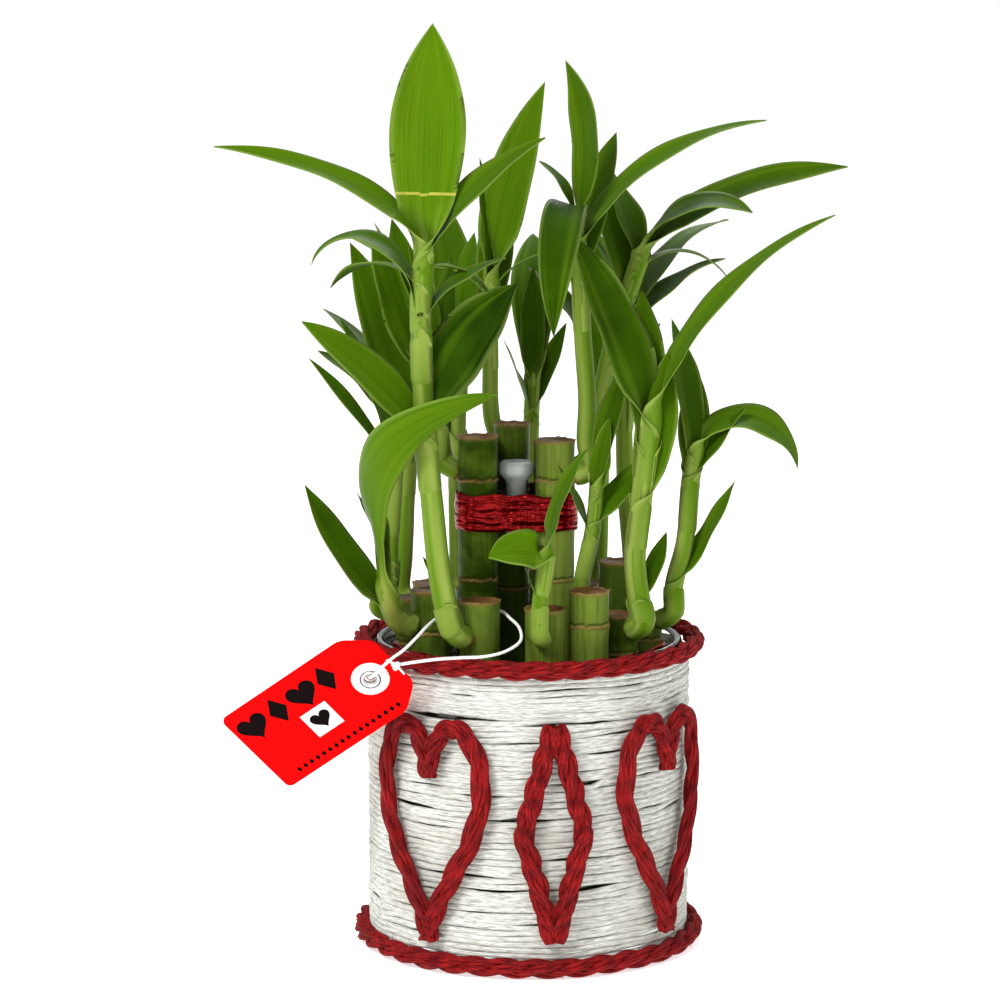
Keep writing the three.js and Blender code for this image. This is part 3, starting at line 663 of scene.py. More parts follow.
def heart(along):
    """Half a heart as [across, height] in millimetres, from its cleft to its point."""
    t = math.pi * (0.02 + 0.96 * along)
    round_part = 13 * math.cos(t) - 5 * math.cos(2 * t) - 2 * math.cos(3 * t) - math.cos(4 * t)
    return 17 * math.sin(t) ** 3, 49 + 2.3 * round_part


def lozenge(along):
    return 8.5 * (1 - abs(2 * along - 1)) + 0.4, 78 - 66 * along


def on_vase(heading, outline, along, mirror):
    across, height = outline(along)
    angle = math.radians(heading) + mirror * across * MM / TWINE_FACE
    return Vector((MOTIF_FACE * math.cos(angle), MOTIF_FACE * math.sin(angle), height * MM))


for name, solid, heading, outline, turns in (
        ("left_heart", "rope_heart_left", -125, heart, 3.2),
        ("lozenge", "rope_lozenge_centre", -82, lozenge, 2.6),
        ("right_heart", "rope_heart_right", -38, heart, 3.2)):
    bm = new_skin()
    for mirror in (-1, 1):
        path = [on_vase(heading, outline, i / 130, mirror) for i in range(131)]
        stations = []
        for i, point in enumerate(path):
            out = Vector((point.x, point.y, 0)).normalized()
            ahead = (path[min(i + 1, 130)] - path[max(i - 1, 0)]).normalized()
            stations.append((point, out, ahead.cross(out).normalized()))
        lay_rope(bm, stations, 3, (1.6 * MM, 0.85 * MM, 1.05 * MM), mirror * turns, -mirror * 2, 0.68)
        fray(bm, stations, 2.2 * MM, 50, draw)
    piece(name, bm, "red_rope", [dyed_jute], solid)

# ---- Cut stalks
# Lengths of dracaena cane, twelve short ones round five tall ones. Each is waisted between its node
# rings, which stand out as thin tan husks, and its sawn top has dried brown with a ragged lip.
INTERNODE = 31 * MM
RING_SWELL = 1.03                # how much wider a solid's node rings are than its cane
RIM_SHARE = 0.93                 # the sawn face inside this share of the radius is pith
RINGS = {                        # height of one node ring, and how pale the cane is
    "inner_stalk": ((146, 0.05), (114.8, 0.75), (134, 0.4), (140, 0.2), (128, 0.3)),
    "outer_stalk": ((92, 0.35), (88, 0.5), (104.8, 0.55), (94, 0.1), (96, 0.4), (114.4, 0.2), (92, 0.3),
                    (100, 0.5), (90, 0.2), (98, 0.4), (94, 0.3), (100, 0.2)),
}


def cane(name, solid, ring_height, pale, seed):
    low, high = [Vector(corner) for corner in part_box(solid)]
    centre = (low + high) / 2
    radius = (high.x - low.x) / 2 / RING_SWELL
    first = ring_height - INTERNODE * math.floor((ring_height - low.z - 4 * MM) / INTERNODE)
    rings = [first + INTERNODE * i for i in range(8) if first + INTERNODE * i < high.z - 4 * MM]
    levels = {low.z + (high.z - 0.4 * MM - low.z) * i / 80 for i in range(81)}
    for ring in rings:
        levels |= {ring + 0.28 * MM * i for i in range(-9, 10)}
    levels |= {high.z - 0.25 * MM * i for i in range(2, 9)}
    profile = [(0, low.z)] + [(radius, level) for level in sorted(levels)]
    profile += [(radius * 0.97, high.z - 0.1 * MM), (radius * 0.88, high.z - 0.15 * MM),
                (radius * 0.8, high.z - 0.7 * MM), (radius * 0.5, high.z - 0.9 * MM), (0, high.z - 0.8 * MM)]
    bm = new_skin()
    lathe(bm, profile, 36)
    husk = bm.verts.layers.float.new("husk")
    pith = bm.verts.layers.float.new("pith")
    tone = bm.verts.layers.float.new("tone")
    shade = bm.verts.layers.float.new("shade")
    for vert in bm.verts:
        level = vert.co.z
        around = Vector((vert.co.x, vert.co.y, 0))
        vert[tone] = pale
        within = around.length < radius * RIM_SHARE
        vert[pith] = 1.0 if level > high.z - 1.2 * MM and within else 0.0
        if within:
            vert.co.z += 0.25 * MM * noise.noise(Vector((vert.co.x, vert.co.y, seed)) / (1.5 * MM))
            continue
        heading = around.normalized()
        ragged = noise.noise(heading * 3 + Vector((seed, 0, 0)))
        torn = noise.noise(heading * 9 + Vector((0, seed, 0)))
        distances = [level - ring - 0.9 * MM * ragged for ring in rings]
        nearest = min(distances, key=abs) if distances else INTERNODE
        ridge = math.exp(-(nearest / (0.42 * MM)) ** 2)
        groove = math.exp(-((nearest - 0.85 * MM) / (0.4 * MM)) ** 2)
        collar = math.exp(-((nearest + 1.8 * MM) / (1.8 * MM)) ** 2)
        waist = 0.965 + 0.02 * min(1, abs(nearest) / (INTERNODE / 2)) ** 2
        lip = math.exp(-((high.z - level) / (0.9 * MM)) ** 2)
        size = waist + 0.065 * ridge * (1 + 0.5 * torn) - 0.03 * groove + 0.02 * collar
        bulge = noise.noise(heading * 1.7 + Vector((seed, 0, level / (9 * MM))))
        size += 0.05 * lip * (1 + ragged) + 0.014 * bulge
        vert.co = heading * radius * size + Vector((0, 0, level + 0.5 * MM * (ragged + torn) * lip))
        vert[husk] = min(1, ridge * (0.8 + 0.5 * torn) + lip * (0.9 + 0.6 * torn))
        # Painted shade: the groove over each node ring is darkened in colour as well as cut in.
        vert[shade] = min(1, groove * 0.8)
    bmesh.ops.translate(bm, verts=bm.verts, vec=(centre.x, centre.y, 0))
    piece(name, bm, "stalk", [cane_rind], solid)


# Green cane rind: waxy and deep green with fine vertical streaks and paler clouds, tan where the husk of a
# node ring has dried, painted shade in the groove over it and brown on the sawn end.
cane_rind, add = new_finish("dracaena_cane_rind")
place = add("ShaderNodeTexCoord")
streak = add("ShaderNodeTexNoise", {
    "Vector": add("ShaderNodeMapping", {
        "Vector": place.outputs["Object"], "Scale": (900, 900, 45)}).outputs[0],
    "Scale": 1.0, "Detail": 3.0})
cloud = add("ShaderNodeTexNoise", {"Vector": place.outputs["Object"], "Scale": 130.0, "Detail": 3.0})
green = add("ShaderNodeMix", {
    0: add("ShaderNodeAttribute", attribute_name="tone").outputs["Fac"],
    6: colour("#213a02"), 7: colour("#879a40")}, data_type="RGBA")
clouded = add("ShaderNodeMix", {
    0: add("ShaderNodeMapRange", {
        "Value": cloud.outputs["Fac"], "From Min": 0.42, "From Max": 0.72, "To Max": 0.45}).outputs[0],
    6: green.outputs[2], 7: colour("#74902c")}, data_type="RGBA")
streaked = add("ShaderNodeMix", {
    0: add("ShaderNodeMapRange", {
        "Value": streak.outputs["Fac"], "From Min": 0.45, "From Max": 0.75, "To Max": 0.55}).outputs[0],
    6: clouded.outputs[2], 7: colour("#1e3606")}, data_type="RGBA")
# Painted shade: a dark brown laid into the groove over each node ring.
shaded = add("ShaderNodeMix", {
    0: add("ShaderNodeAttribute", attribute_name="shade").outputs["Fac"],
    6: streaked.outputs[2], 7: colour("#2a2408")}, data_type="RGBA")
dried = add("ShaderNodeMix", {
    0: streak.outputs["Fac"], 6: colour("#4a2c14"), 7: colour("#b98f5e")}, data_type="RGBA")
husked = add("ShaderNodeMix", {
    0: add("ShaderNodeAttribute", attribute_name="husk").outputs["Fac"],
    6: shaded.outputs[2], 7: dried.outputs[2]}, data_type="RGBA")
sawn = add("ShaderNodeMix", {
    0: cloud.outputs["Fac"], 6: colour("#3a2412"), 7: colour("#8a6238")}, data_type="RGBA")
add("ShaderNodeOutputMaterial", {"Surface": add("ShaderNodeBsdfPrincipled", {
    "Base Color": add("ShaderNodeMix", {
        0: add("ShaderNodeAttribute", attribute_name="pith").outputs["Fac"],
        6: husked.outputs[2], 7: sawn.outputs[2]}, data_type="RGBA").outputs[2],
    "Roughness": 0.4, "Specular IOR Level": 0.13, "Specular Tint": colour("#a8c050"),
    "Normal": add("ShaderNodeBump", {
        "Height": streak.outputs["Fac"], "Strength": 0.4, "Distance": 0.2 * MM}).outputs[0],
}).outputs[0]})

stalk_circles = {}
for tier, rings in RINGS.items():
    for i, (ring_height, pale) in enumerate(rings):
        solid = f"{tier}_{i + 1}"
        low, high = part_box(solid)
        stalk_circles[solid] = ((low[0] + high[0]) / 2, (low[1] + high[1]) / 2, (high[0] - low[0]) / 2)
        short = tier.split("_")[0]
        seed = 1 + i + 20 * (short == "inner")
        cane(f"cane_{short}_{i + 1}", solid, ring_height * MM, pale, seed)

# ---- Core tube
# A short frosted plastic tube with a flared, flanged head, in the middle of the inner tier. Its head is a
# list of (radius, depth below the top) in millimetres, from the barrel up over the flange and into the bore.
TUBE_RADIUS = 3.2
TUBE_HEAD = ((TUBE_RADIUS, 7.5), (3.7, 5.8), (5.2, 4.2), (5.6, 3.5), (5.6, 1.4), (5.4, 1), (4.4, 0),
             (3.6, 0.4), (2.2, 2), (2, 4), (2, 21), (0, 21))
tube_low, tube_high = [Vector(corner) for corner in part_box("core_tube")]
tube_middle = (tube_low + tube_high) / 2
bm = new_skin()
lathe(bm, [(0, tube_low.z), (TUBE_RADIUS * MM, tube_low.z)]
      + [(radius * MM, tube_high.z - depth * MM) for radius, depth in TUBE_HEAD], 40)
bmesh.ops.translate(bm, verts=bm.verts, vec=(tube_middle.x, tube_middle.y, 0))
# Frosted polyethylene: milky and grey-white, with the haze of old plastic.
frosted, add = new_finish("frosted_polyethylene")
haze = add("ShaderNodeTexNoise", {
    "Vector": add("ShaderNodeTexCoord").outputs["Object"], "Scale": 260.0, "Detail": 3.0})
add("ShaderNodeOutputMaterial", {"Surface": add("ShaderNodeBsdfPrincipled", {
    "Base Color": add("ShaderNodeMix", {
        0: haze.outputs["Fac"], 6: colour("#a8b0ac"), 7: colour("#dfe5e2")}, data_type="RGBA").outputs[2],
    "Roughness": 0.3, "Subsurface Weight": 0.3, "Subsurface Radius": (1, 1, 1), "Subsurface Scale": 1.5 * MM,
}).outputs[0]})
piece("core_straw", bm, "clear_plastic", [frosted], "core_tube")

# ---- Ribbon ties
# Metallised red ribbon pulled tight round each tier in several turns. It lies flat on the stalks, spans
# the hollows between them and is creased along its length.
def belt_reach(circles, heading):
    """How far from the origin a belt pulled tight round circles of (x, y, radius) lies at a heading."""
    reach = math.inf
    for i in range(-34, 35):
        pull = heading + math.radians(2.5 * i)
        grip = max(x * math.cos(pull) + y * math.sin(pull) + radius for x, y, radius in circles)
        reach = min(reach, grip / math.cos(pull - heading))
    return reach


def ribbon(name, solid, tier, strands, seed):
    low, high = [Vector(corner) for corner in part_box(solid)]
    centre = (low + high) / 2
    circles = [(x - centre.x, y - centre.y, radius) for key, (x, y, radius) in stalk_circles.items()
               if key.startswith(tier)]
    reaches = [belt_reach(circles, math.tau * i / 180) for i in range(180)]
    bm = new_skin()
    half = 0.62 * (high.z - low.z) / strands
    for strand in range(strands):
        level = low.z + half + (high.z - low.z - 2 * half) * strand / (strands - 1)
        stations = []
        for i in range(181):
            angle = math.tau * i / 180
            out = Vector((math.cos(angle), math.sin(angle), 0))
            crease = noise.noise(out * 3.1 + Vector((0, 0, 9 * strand + seed)))
            lean = 0.5 * noise.noise(out * 5.3 + Vector((0, 0, 5 * strand - seed)))
            up = (Vector((0, 0, 1)) + lean * out).normalized()
            reach = reaches[i % 180] + (0.35 + 0.2 * (strand % 2) + 0.15 * crease) * MM
            stations.append((out * reach + Vector((centre.x, centre.y, level + 0.8 * MM * crease)),
                             out * 0.22 * MM, up * half * (1 + 0.25 * crease)))
        tube(bm, stations, 24, lambda step, angle: 1 + 1.1 * noise.noise(
            Vector((0.05 * step, 5 * math.sin(angle), strand + seed))) * abs(math.cos(angle)))
    piece(name, bm, "red_ribbon", [metallised], solid)


# Metallised polyester ribbon: a deep, mirror-like red with long fine creases along it. Its base colour runs
# from near-black to bright red along the creases as painted shade and painted reflection.
metallised, add = new_finish("metallised_red_ribbon")
place = add("ShaderNodeTexCoord")
crease = add("ShaderNodeTexNoise", {
    "Vector": add("ShaderNodeMapping", {
        "Vector": place.outputs["UV"], "Scale": (45, 1300, 1)}).outputs[0], "Scale": 1.0, "Detail": 3.0})
add("ShaderNodeOutputMaterial", {"Surface": add("ShaderNodeBsdfPrincipled", {
    # Painted shade and painted reflection: dark and bright red streaks follow the creases.
    "Base Color": add("ShaderNodeMix", {
        0: crease.outputs["Fac"], 6: colour("#3c0106"), 7: colour("#b8080c")}, data_type="RGBA").outputs[2],
    "Metallic": 0.8, "Roughness": 0.2,
    "Normal": add("ShaderNodeBump", {
        "Height": crease.outputs["Fac"], "Strength": 0.7, "Distance": 0.45 * MM}).outputs[0],
}).outputs[0]})
ribbon("upper_ribbon", "upper_ribbon_tie", "inner", 5, 2)
ribbon("lower_ribbon", "lower_ribbon_tie", "outer", 4, 6)

# ---- Leafy shoots
# One green shoot on each stalk. It leaves the cane at a brown papery collar and turns upwards; each leaf
# grows from a pale sheath that clasps the stem, and is strap-shaped, channelled and pointed.
# A leaf is [height on the stem, heading, length, width, pitch at the base, pitch at the tip, how late it
# bends, sweep, roll], in millimetres and degrees; for some, how dark it is and where it is widest follow.
# That given darkness is partly the leaf's own green and partly painted shade for leaves that lie in shadow.
SHOOTS = {
    "inner_shoot_1": (172, 147.5, (2.6, 1.8), [(-27.4, -4.6, 158), (-28.4, -4.8, 170), (-28.6, -4.6, 184)], [
        (160, 200, 26, 8, 60, 78, 1, 0, 0), (172, 70, 44, 10, 76, 66, 1, 0, 0),
        (180, 150, 40, 9, 84, 66, 1, 0, 0)]),
    "inner_shoot_2": (-14, 146.6, (3.3, 2.4), [
        (17.8, -8.6, 157), (17.9, -8.8, 171), (16.4, -8.6, 192), (15.2, -8.6, 214), (13.4, -8.4, 230)], [
        (222, -20, 54, 11, 72, 120, 1.3, 0, 62, 0.5, 0.55), (214, 2, 76, 9, 72, 6, 0.8, 0, 34, 0.35, 0.35),
        (221, -97, 72, 13, 90, -100, 0.58, -8, -15, 0.9, 0.5), (226, 160, 22, 6, 84, 30, 1, 0, 0),
        (206, 60, 52, 12, 74, 50, 1, 0, 0)]),
    "inner_shoot_3": (20, 146.6, (3.1, 2.4), [
        (19.6, 13.6, 158), (22.5, 14, 169), (27.1, 14.5, 190), (33.5, 15, 209), (36.6, 15, 218)], [
        (212, 5, 75, 12, 58, 2, 0.6, 0, 34), (212, -38, 46, 15, 66, -30, 1.2, 30, 20),
        (206, 24, 40, 5, 62, -52, 0.8, 0, 0), (200, 128, 52, 14, 76, 58, 1, 0, 0),
        (212, 130, 32, 12, 72, 44, 1, 0, 0)]),
    "inner_shoot_4": (105, 148.5, (3, 2.2), [
        (-11.4, 24.5, 161), (-12, 25, 180), (-12, 25, 199), (-10.6, 25, 214)], [
        (204, 0, 66, 15, 84, 66, 1, 0, 74, 0.3, 0.4), (196, 190, 32, 4, 72, -12, 0.8, 0, 0),
        (198, -2, 34, 4, 78, -8, 0.8, 0, 0), (202, 150, 42, 9, 88, 80, 1, 0, 0),
        (190, 80, 52, 12, 72, 46, 1, 0, 0)]),
    "inner_shoot_5": (158, 146.6, (3, 2.2), [(-27.4, 9.4, 158), (-31, 9.6, 170), (-35.6, 9.6, 184)], [
        (172, 184, 52, 15, 76, 66, 1, 0, -62), (180, 120, 48, 12, 80, 60, 1, 0, 0),
        (184, 208, 44, 9, 82, 62, 1, 0, 0)]),
    "outer_shoot_1": (228, 101.5, (3.8, 2.8), [
        (-26.6, -41.5, 120), (-29.2, -41.5, 144), (-31.2, -41.5, 168), (-32.1, -41.5, 189),
        (-32, -41.5, 210), (-30, -41.5, 226)], [
        (215, 0, 70, 23, 90, 86, 1, 0, 86, 0, 0.56), (216, 183, 75, 8.5, 80, 4, 0.45, 0, -34, 0.15, 0.3),
        (214, -4, 54, 10, 70, 26, 0.8, 0, 34, 0.4, 0.4), (191, 176, 58, 10, 86, -74, 1.9, 0, -16),
        (206, 158, 36, 8, 60, -52, 0.9, 0, 0), (212, 24, 30, 5, 20, -72, 1, 0, 0),
        (166, 8, 52, 19, 72, 40, 1, 0, 58, 1, 0.5), (160, 178, 54, 13, 58, 30, 1, 0, -44, 0.3, 0.45),
        (112, 172, 17, 5, 62, 68, 1, 0, 0), (196, 8, 34, 7, 66, 14, 0.8, 0, 14)]),
    "outer_shoot_2": (-98, 101.5, (3, 2.1), [(3.1, -45, 114), (4.6, -45, 124), (5.6, -45, 132)], [
        (127, 206, 21, 13, 30, -22, 1, 0, -64, 0.1, 0.4), (128, -20, 36, 8, 86, 52, 1, 0, 50),
        (112, 190, 15, 4, 66, 74, 1, 0, 0)]),
    "outer_shoot_3": (104, 103, (3, 2), [(16.2, -18.4, 116), (19.4, -18, 132), (21, -18, 150)], [
        (140, -10, 27, 8, 84, 78, 1, 0, 60), (132, 8, 30, 9, 58, 34, 1, 0, 40),
        (146, 40, 40, 10, 80, 62, 1, 0, 0), (128, 170, 26, 7, 70, 60, 1, 0, 0)]),
    "outer_shoot_4": (-52, 101.5, (4, 2.9), [
        (33.4, -25, 112), (32.2, -25, 124), (34, -25, 142), (37.2, -25, 170)], [
        (160, 186, 68, 16, 78, 58, 1, 0, -66, 0.8, 0.45), (166, -8, 86, 12, 70, 24, 1.1, 0, 34, 0.3, 0.3),
        (156, 104, 50, 13, 84, 78, 1, 0, 0), (140, 12, 48, 13, 76, 84, 1, 0, 66),
        (110, 22, 24, 6, 62, 70, 1, 0, 40)]),
    "outer_shoot_5": (-40, 102, (3.4, 2.4), [
        (44.8, -13, 114), (48, -14, 128), (49.6, -14, 147), (52, -14, 160)], [
        (156, 2, 44, 12, 84, -80, 0.75, 0, 44, 0.35, 0.6), (146, -6, 30, 8, 62, 44, 1, 0, 40),
        (112, -12, 40, 9, 54, 66, 1, 0, 44), (152, 120, 46, 11, 84, 60, 1, 0, 0),
        (148, 80, 34, 10, 80, 56, 1, 0, 0)]),
    "outer_shoot_6": (64, 102, (3.2, 2.3), [
        (33, 21.4, 117), (31, 21.6, 140), (30.6, 22, 168), (32, 23.4, 186), (33.2, 25, 196)], [
        (188, 176, 34, 11, 80, 56, 1, 0, 0), (194, 44, 56, 14, 58, 4, 1, 0, 0),
        (186, 22, 44, 12, 62, 10, 1, 0, 0), (172, 84, 50, 12, 60, 20, 1, 0, 0)]),
    "outer_shoot_7": (62, 102, (3.2, 2.2), [
        (23.2, 39.4, 116), (23.8, 40, 140), (23.8, 40.6, 166), (23.6, 40.6, 186)], [
        (180, 104, 58, 15, 74, 34, 1, 0, 0), (160, 242, 38, 10, 80, 66, 1, 0, 0),
        (172, 150, 46, 12, 72, 30, 1, 0, 0), (156, 60, 54, 13, 60, 10, 1, 0, 0)]),
    "outer_shoot_8": (84, 102, (3.2, 2.2), [(1, 46, 118), (1, 46, 150), (2, 46, 176)], [
        (168, -86, 40, 8.5, 92, 86, 1, 0, 0), (160, 10, 32, 7, 72, 64, 1, 0, 40),
        (156, 196, 30, 7, 76, 66, 1, 0, 0), (172, 90, 60, 15, 74, 24, 1, 0, 0)]),
    "outer_shoot_9": (118, 102, (3.2, 2.2), [
        (-22.6, 40, 116), (-23, 41, 140), (-22, 42, 166), (-22, 42, 186)], [
        (180, 104, 62, 15, 78, 30, 1, 0, 0), (178, 160, 56, 13, 70, 20, 1, 0, 0),
        (176, 60, 44, 12, 84, 70, 1, 0, 0), (150, 130, 52, 12, 62, 14, 1, 0, 0)]),
    "outer_shoot_10": (146, 102, (3.2, 2.3), [
        (-39.6, 23, 117), (-38.8, 23, 132), (-38, 23, 150), (-39, 23, 164)], [
        (158, 178, 62, 16, 80, 66, 1, 0, -60), (154, 140, 56, 13, 70, 24, 1, 0, 0),
        (150, 196, 46, 11, 66, 30, 1, 0, -20)]),
    "outer_shoot_11": (186, 102, (2.9, 2), [
        (-43.6, -3, 112), (-42.6, -3.4, 127), (-41.4, -4, 148), (-41.6, -4, 156)], [
        (146, 180, 46, 6.5, 60, 46, 1, 0, -20), (150, 150, 50, 12, 78, 52, 1, 0, 0),
        (118, 166, 26, 7, 60, 66, 1, 0, 0)]),
    "outer_shoot_12": (212, 102, (4, 2.6), [(-42.9, -26.6, 113), (-45.2, -28.4, 124)], [
        (110, -160, 98, 15, 79, 6, 1.35, 195, -50, 0.12, 0.5), (106, 186, 50, 11, 48, 64, 1, 0, -52),
        (116, 230, 34, 9, 84, 74, 1, 0, 0)]),
}
STEM_STEPS = 110
LEAF_STEPS = 36
SHEATH_STEPS = 10
LEAF_COLUMNS = 10
LEAF_THICKNESS = 0.4 * MM
LEAF_NECK = 0.34                # width where a blade opens out of its sheath, as a share of its greatest
SHEATH = 11 * MM                # how far a sheath runs down the stem
CHANNEL = 0.34                  # half the angle that a blade's channel bends through, in radians
CLASP = 2.7                     # the same where its sheath clasps the stem
STALK_REACH = 7.605 * MM        # from a stalk's line to where its shoot leaves it


def blade(bm, points, base, share, girth, shape, draw):
    """Bends a grid into one leaf: a sheath up the stem that opens into a channelled, wavy blade. points
    are the stem's, base is the leaf's place on it and share is the sheath's part of it."""
    _, heading, length, width, rise, fall, haste, sweep, roll, *given = shape
    length *= MM
    width *= MM
    turn = math.radians(heading)
    spine = []
    for i in range(SHEATH_STEPS):
        part = i / SHEATH_STEPS - 1
        low = max(base + share * part, 0.01)
        spot = through(points, low)
        stem_ahead = (through(points, low + 0.01) - spot).normalized()
        spine.append((part, spot, turn, stem_ahead))
    spot = through(points, base)
    for i in range(4 * LEAF_STEPS + 1):
        part = i / (4 * LEAF_STEPS)
        pitch = math.radians(rise + (fall - rise) * part ** haste)
        turn = math.radians(heading + sweep * part)
        ahead = Vector((math.cos(pitch) * math.cos(turn), math.cos(pitch) * math.sin(turn), math.sin(pitch)))
        parting = min(1, part / 0.1)
        ahead = stem_ahead.lerp(ahead, parting ** 2 * (3 - 2 * parting)).normalized()
        if i % 4 == 0:
            spine.append((part, spot.copy(), turn, ahead))
        spot += ahead * length / (4 * LEAF_STEPS)
    rows = len(spine) - 1
    old = len(bm.faces)
    skin = bmesh.ops.create_grid(
        bm, x_segments=LEAF_COLUMNS, y_segments=rows, size=0.5, calc_uvs=True)["verts"]
    bm.faces.ensure_lookup_table()
    faces = bm.faces[old:]
    sheet = bm.loops.layers.uv.active
    for face in faces:
        face.smooth = True
        for loop in face.loops:
            loop[sheet].uv = (loop.vert.co.x * width, (loop.vert.co.y + 0.5) * (length + SHEATH))
    phase, ripple = draw.uniform(0, math.tau), draw.uniform(0.06, 0.15)
    waves, twist = draw.uniform(1.4, 2.6), math.radians(draw.uniform(-18, 18))
    tone, widest = draw.uniform(0.25, 0.75), draw.uniform(0.4, 0.54)
    # A given darkness is partly the leaf's own green and partly painted shade, for leaves that lie in shadow.
    if given:
        tone, widest = given
    nest = 0.2 * MM + draw.uniform(0, 0.25) * MM
    for vert in skin:
        side = 2 * vert.co.x
        part, centre, turn, ahead = spine[round((vert.co.y + 0.5) * rows)]
        out = max(part, 0)
        up = ahead.cross(Vector((-math.sin(turn), math.cos(turn), 0))).normalized()
        up.rotate(Quaternion(ahead, math.radians(roll) * min(1, 4 * out) + twist * out))
        across = ahead.cross(up)
        opening = LEAF_NECK + (1 - LEAF_NECK) * math.sin(math.pi / 2 * min(out / widest, 1)) ** 1.2
        closing = 1 - max((out - widest) / (1 - widest), 0) ** 2
        half = max(width / 2 * opening * closing, 0.02 * MM)
        wrap = math.exp(-(out / 0.09) ** 2)
        sink = 0.7 * MM * max(0, -0.8 - part) / 0.2
        arc = half * (1 - wrap) + (girth + nest - sink) * CLASP * wrap
        curl = CHANNEL * (1 - wrap) + CLASP * wrap
        bow = arc / curl
        wave = ripple * half * math.sin(math.tau * waves * out + phase + 1.3 * side) * side ** 2 * (1 - wrap)
        lift = bow * (1 - math.cos(side * curl)) - wrap * bow + wave
        vert.co = centre + across * bow * math.sin(side * curl) + up * lift
        vert[bm.verts.layers.float["tone"]] = tone
        vert[bm.verts.layers.float["young"]] = 0.9 * math.exp(-(out / 0.14) ** 2)
        vert[bm.verts.layers.float["rim"]] = max(0.0, abs(side) - 0.8) / 0.2
        vert[bm.verts.layers.float["creased"]] = out if tone == 0 else 1.0
    grown = bmesh.ops.solidify(bm, geom=faces, thickness=LEAF_THICKNESS)["geom"]
    for item in grown:
        if isinstance(item, bmesh.types.BMFace):
            item.smooth = True


# Leaf: a waxy, evergreen blade. Fine parallel veins run along it, its tone differs from leaf to leaf and
# drifts within it, its edge has a thin pale line, and one leaf has yellowed where it was once folded. The
# dark tones given to leaves that lie in shadow are partly painted shade. Its sheath and the stem are a
# paler yellow-green, streaked lengthwise.
leaf_skin, add = new_finish("dracaena_leaf")
place = add("ShaderNodeTexCoord")
veins = add("ShaderNodeTexNoise", {
    "Vector": add("ShaderNodeMapping", {
        "Vector": place.outputs["UV"], "Scale": (1500, 16, 1)}).outputs[0],
    "Scale": 1.0, "Detail": 2.0, "Roughness": 0.6})
bands = add("ShaderNodeTexNoise", {
    "Vector": add("ShaderNodeMapping", {
        "Vector": place.outputs["UV"], "Scale": (260, 9, 1)}).outputs[0],
    "Scale": 1.0, "Detail": 1.0})
drift = add("ShaderNodeTexNoise", {"Vector": place.outputs["Object"], "Scale": 42.0, "Detail": 2.0})
mottle = add("ShaderNodeTexNoise", {"Vector": place.outputs["Object"], "Scale": 260.0, "Detail": 4.0})
# Light to dark green by tone; for leaves given a dark tone it is partly painted shade.
blade_colour = add("ShaderNodeMix", {
    0: add("ShaderNodeAttribute", attribute_name="tone").outputs["Fac"],
    6: colour("#54780a"), 7: colour("#0f2602")}, data_type="RGBA")
drifted = add("ShaderNodeMix", {
    0: add("ShaderNodeMapRange", {
        "Value": drift.outputs["Fac"], "From Min": 0.4, "From Max": 0.7, "To Max": 0.45}).outputs[0],
    6: blade_colour.outputs[2], 7: colour("#48700a")}, data_type="RGBA")
banded = add("ShaderNodeMix", {
    0: add("ShaderNodeMapRange", {
        "Value": bands.outputs["Fac"], "From Min": 0.5, "From Max": 0.75, "To Max": 0.3}).outputs[0],
    6: drifted.outputs[2], 7: colour("#6c8a18")}, data_type="RGBA")
veined = add("ShaderNodeMix", {
    0: add("ShaderNodeMapRange", {
        "Value": veins.outputs["Fac"], "From Min": 0.5, "From Max": 0.75, "To Max": 0.5}).outputs[0],
    6: banded.outputs[2], 7: colour("#1d4208")}, data_type="RGBA")
stem_colour = add("ShaderNodeMix", {
    0: add("ShaderNodeMapRange", {
        "Value": bands.outputs["Fac"], "From Min": 0.35, "From Max": 0.65}).outputs[0],
    6: colour("#54780e"), 7: colour("#97a850")}, data_type="RGBA")
greened = add("ShaderNodeMix", {
    0: add("ShaderNodeAttribute", attribute_name="young").outputs["Fac"],
    6: veined.outputs[2], 7: stem_colour.outputs[2]}, data_type="RGBA")
edged = add("ShaderNodeMix", {
    0: add("ShaderNodeMath", {
        0: add("ShaderNodeAttribute", attribute_name="rim").outputs["Fac"], 1: 0.3},
        operation="MULTIPLY").outputs[0],
    6: greened.outputs[2], 7: colour("#9db35a")}, data_type="RGBA")
fold = add("ShaderNodeMath", {
    0: add("ShaderNodeAttribute", attribute_name="creased").outputs["Fac"], 1: 0.29, 2: 0.006},
    operation="COMPARE")
folded = add("ShaderNodeMix", {
    0: add("ShaderNodeMath", {0: fold.outputs[0], 1: mottle.outputs["Fac"]}, operation="MULTIPLY").outputs[0],
    6: edged.outputs[2], 7: colour("#d8c860")}, data_type="RGBA")
papery = add("ShaderNodeMix", {
    0: mottle.outputs["Fac"], 6: colour("#4a1c0c"), 7: colour("#a8763c")}, data_type="RGBA")
surface = add("ShaderNodeMath", {0: veins.outputs["Fac"], 1: mottle.outputs["Fac"]}, operation="ADD")
add("ShaderNodeOutputMaterial", {"Surface": add("ShaderNodeBsdfPrincipled", {
    "Base Color": add("ShaderNodeMix", {
        0: add("ShaderNodeAttribute", attribute_name="husk").outputs["Fac"],
        6: folded.outputs[2], 7: papery.outputs[2]}, data_type="RGBA").outputs[2],
    "Roughness": 0.42, "Specular IOR Level": 0.12, "Specular Tint": colour("#8fc030"),
    "Normal": add("ShaderNodeBump", {
        "Height": surface.outputs[0], "Strength": 0.35, "Distance": 0.3 * MM}).outputs[0],
}).outputs[0]})


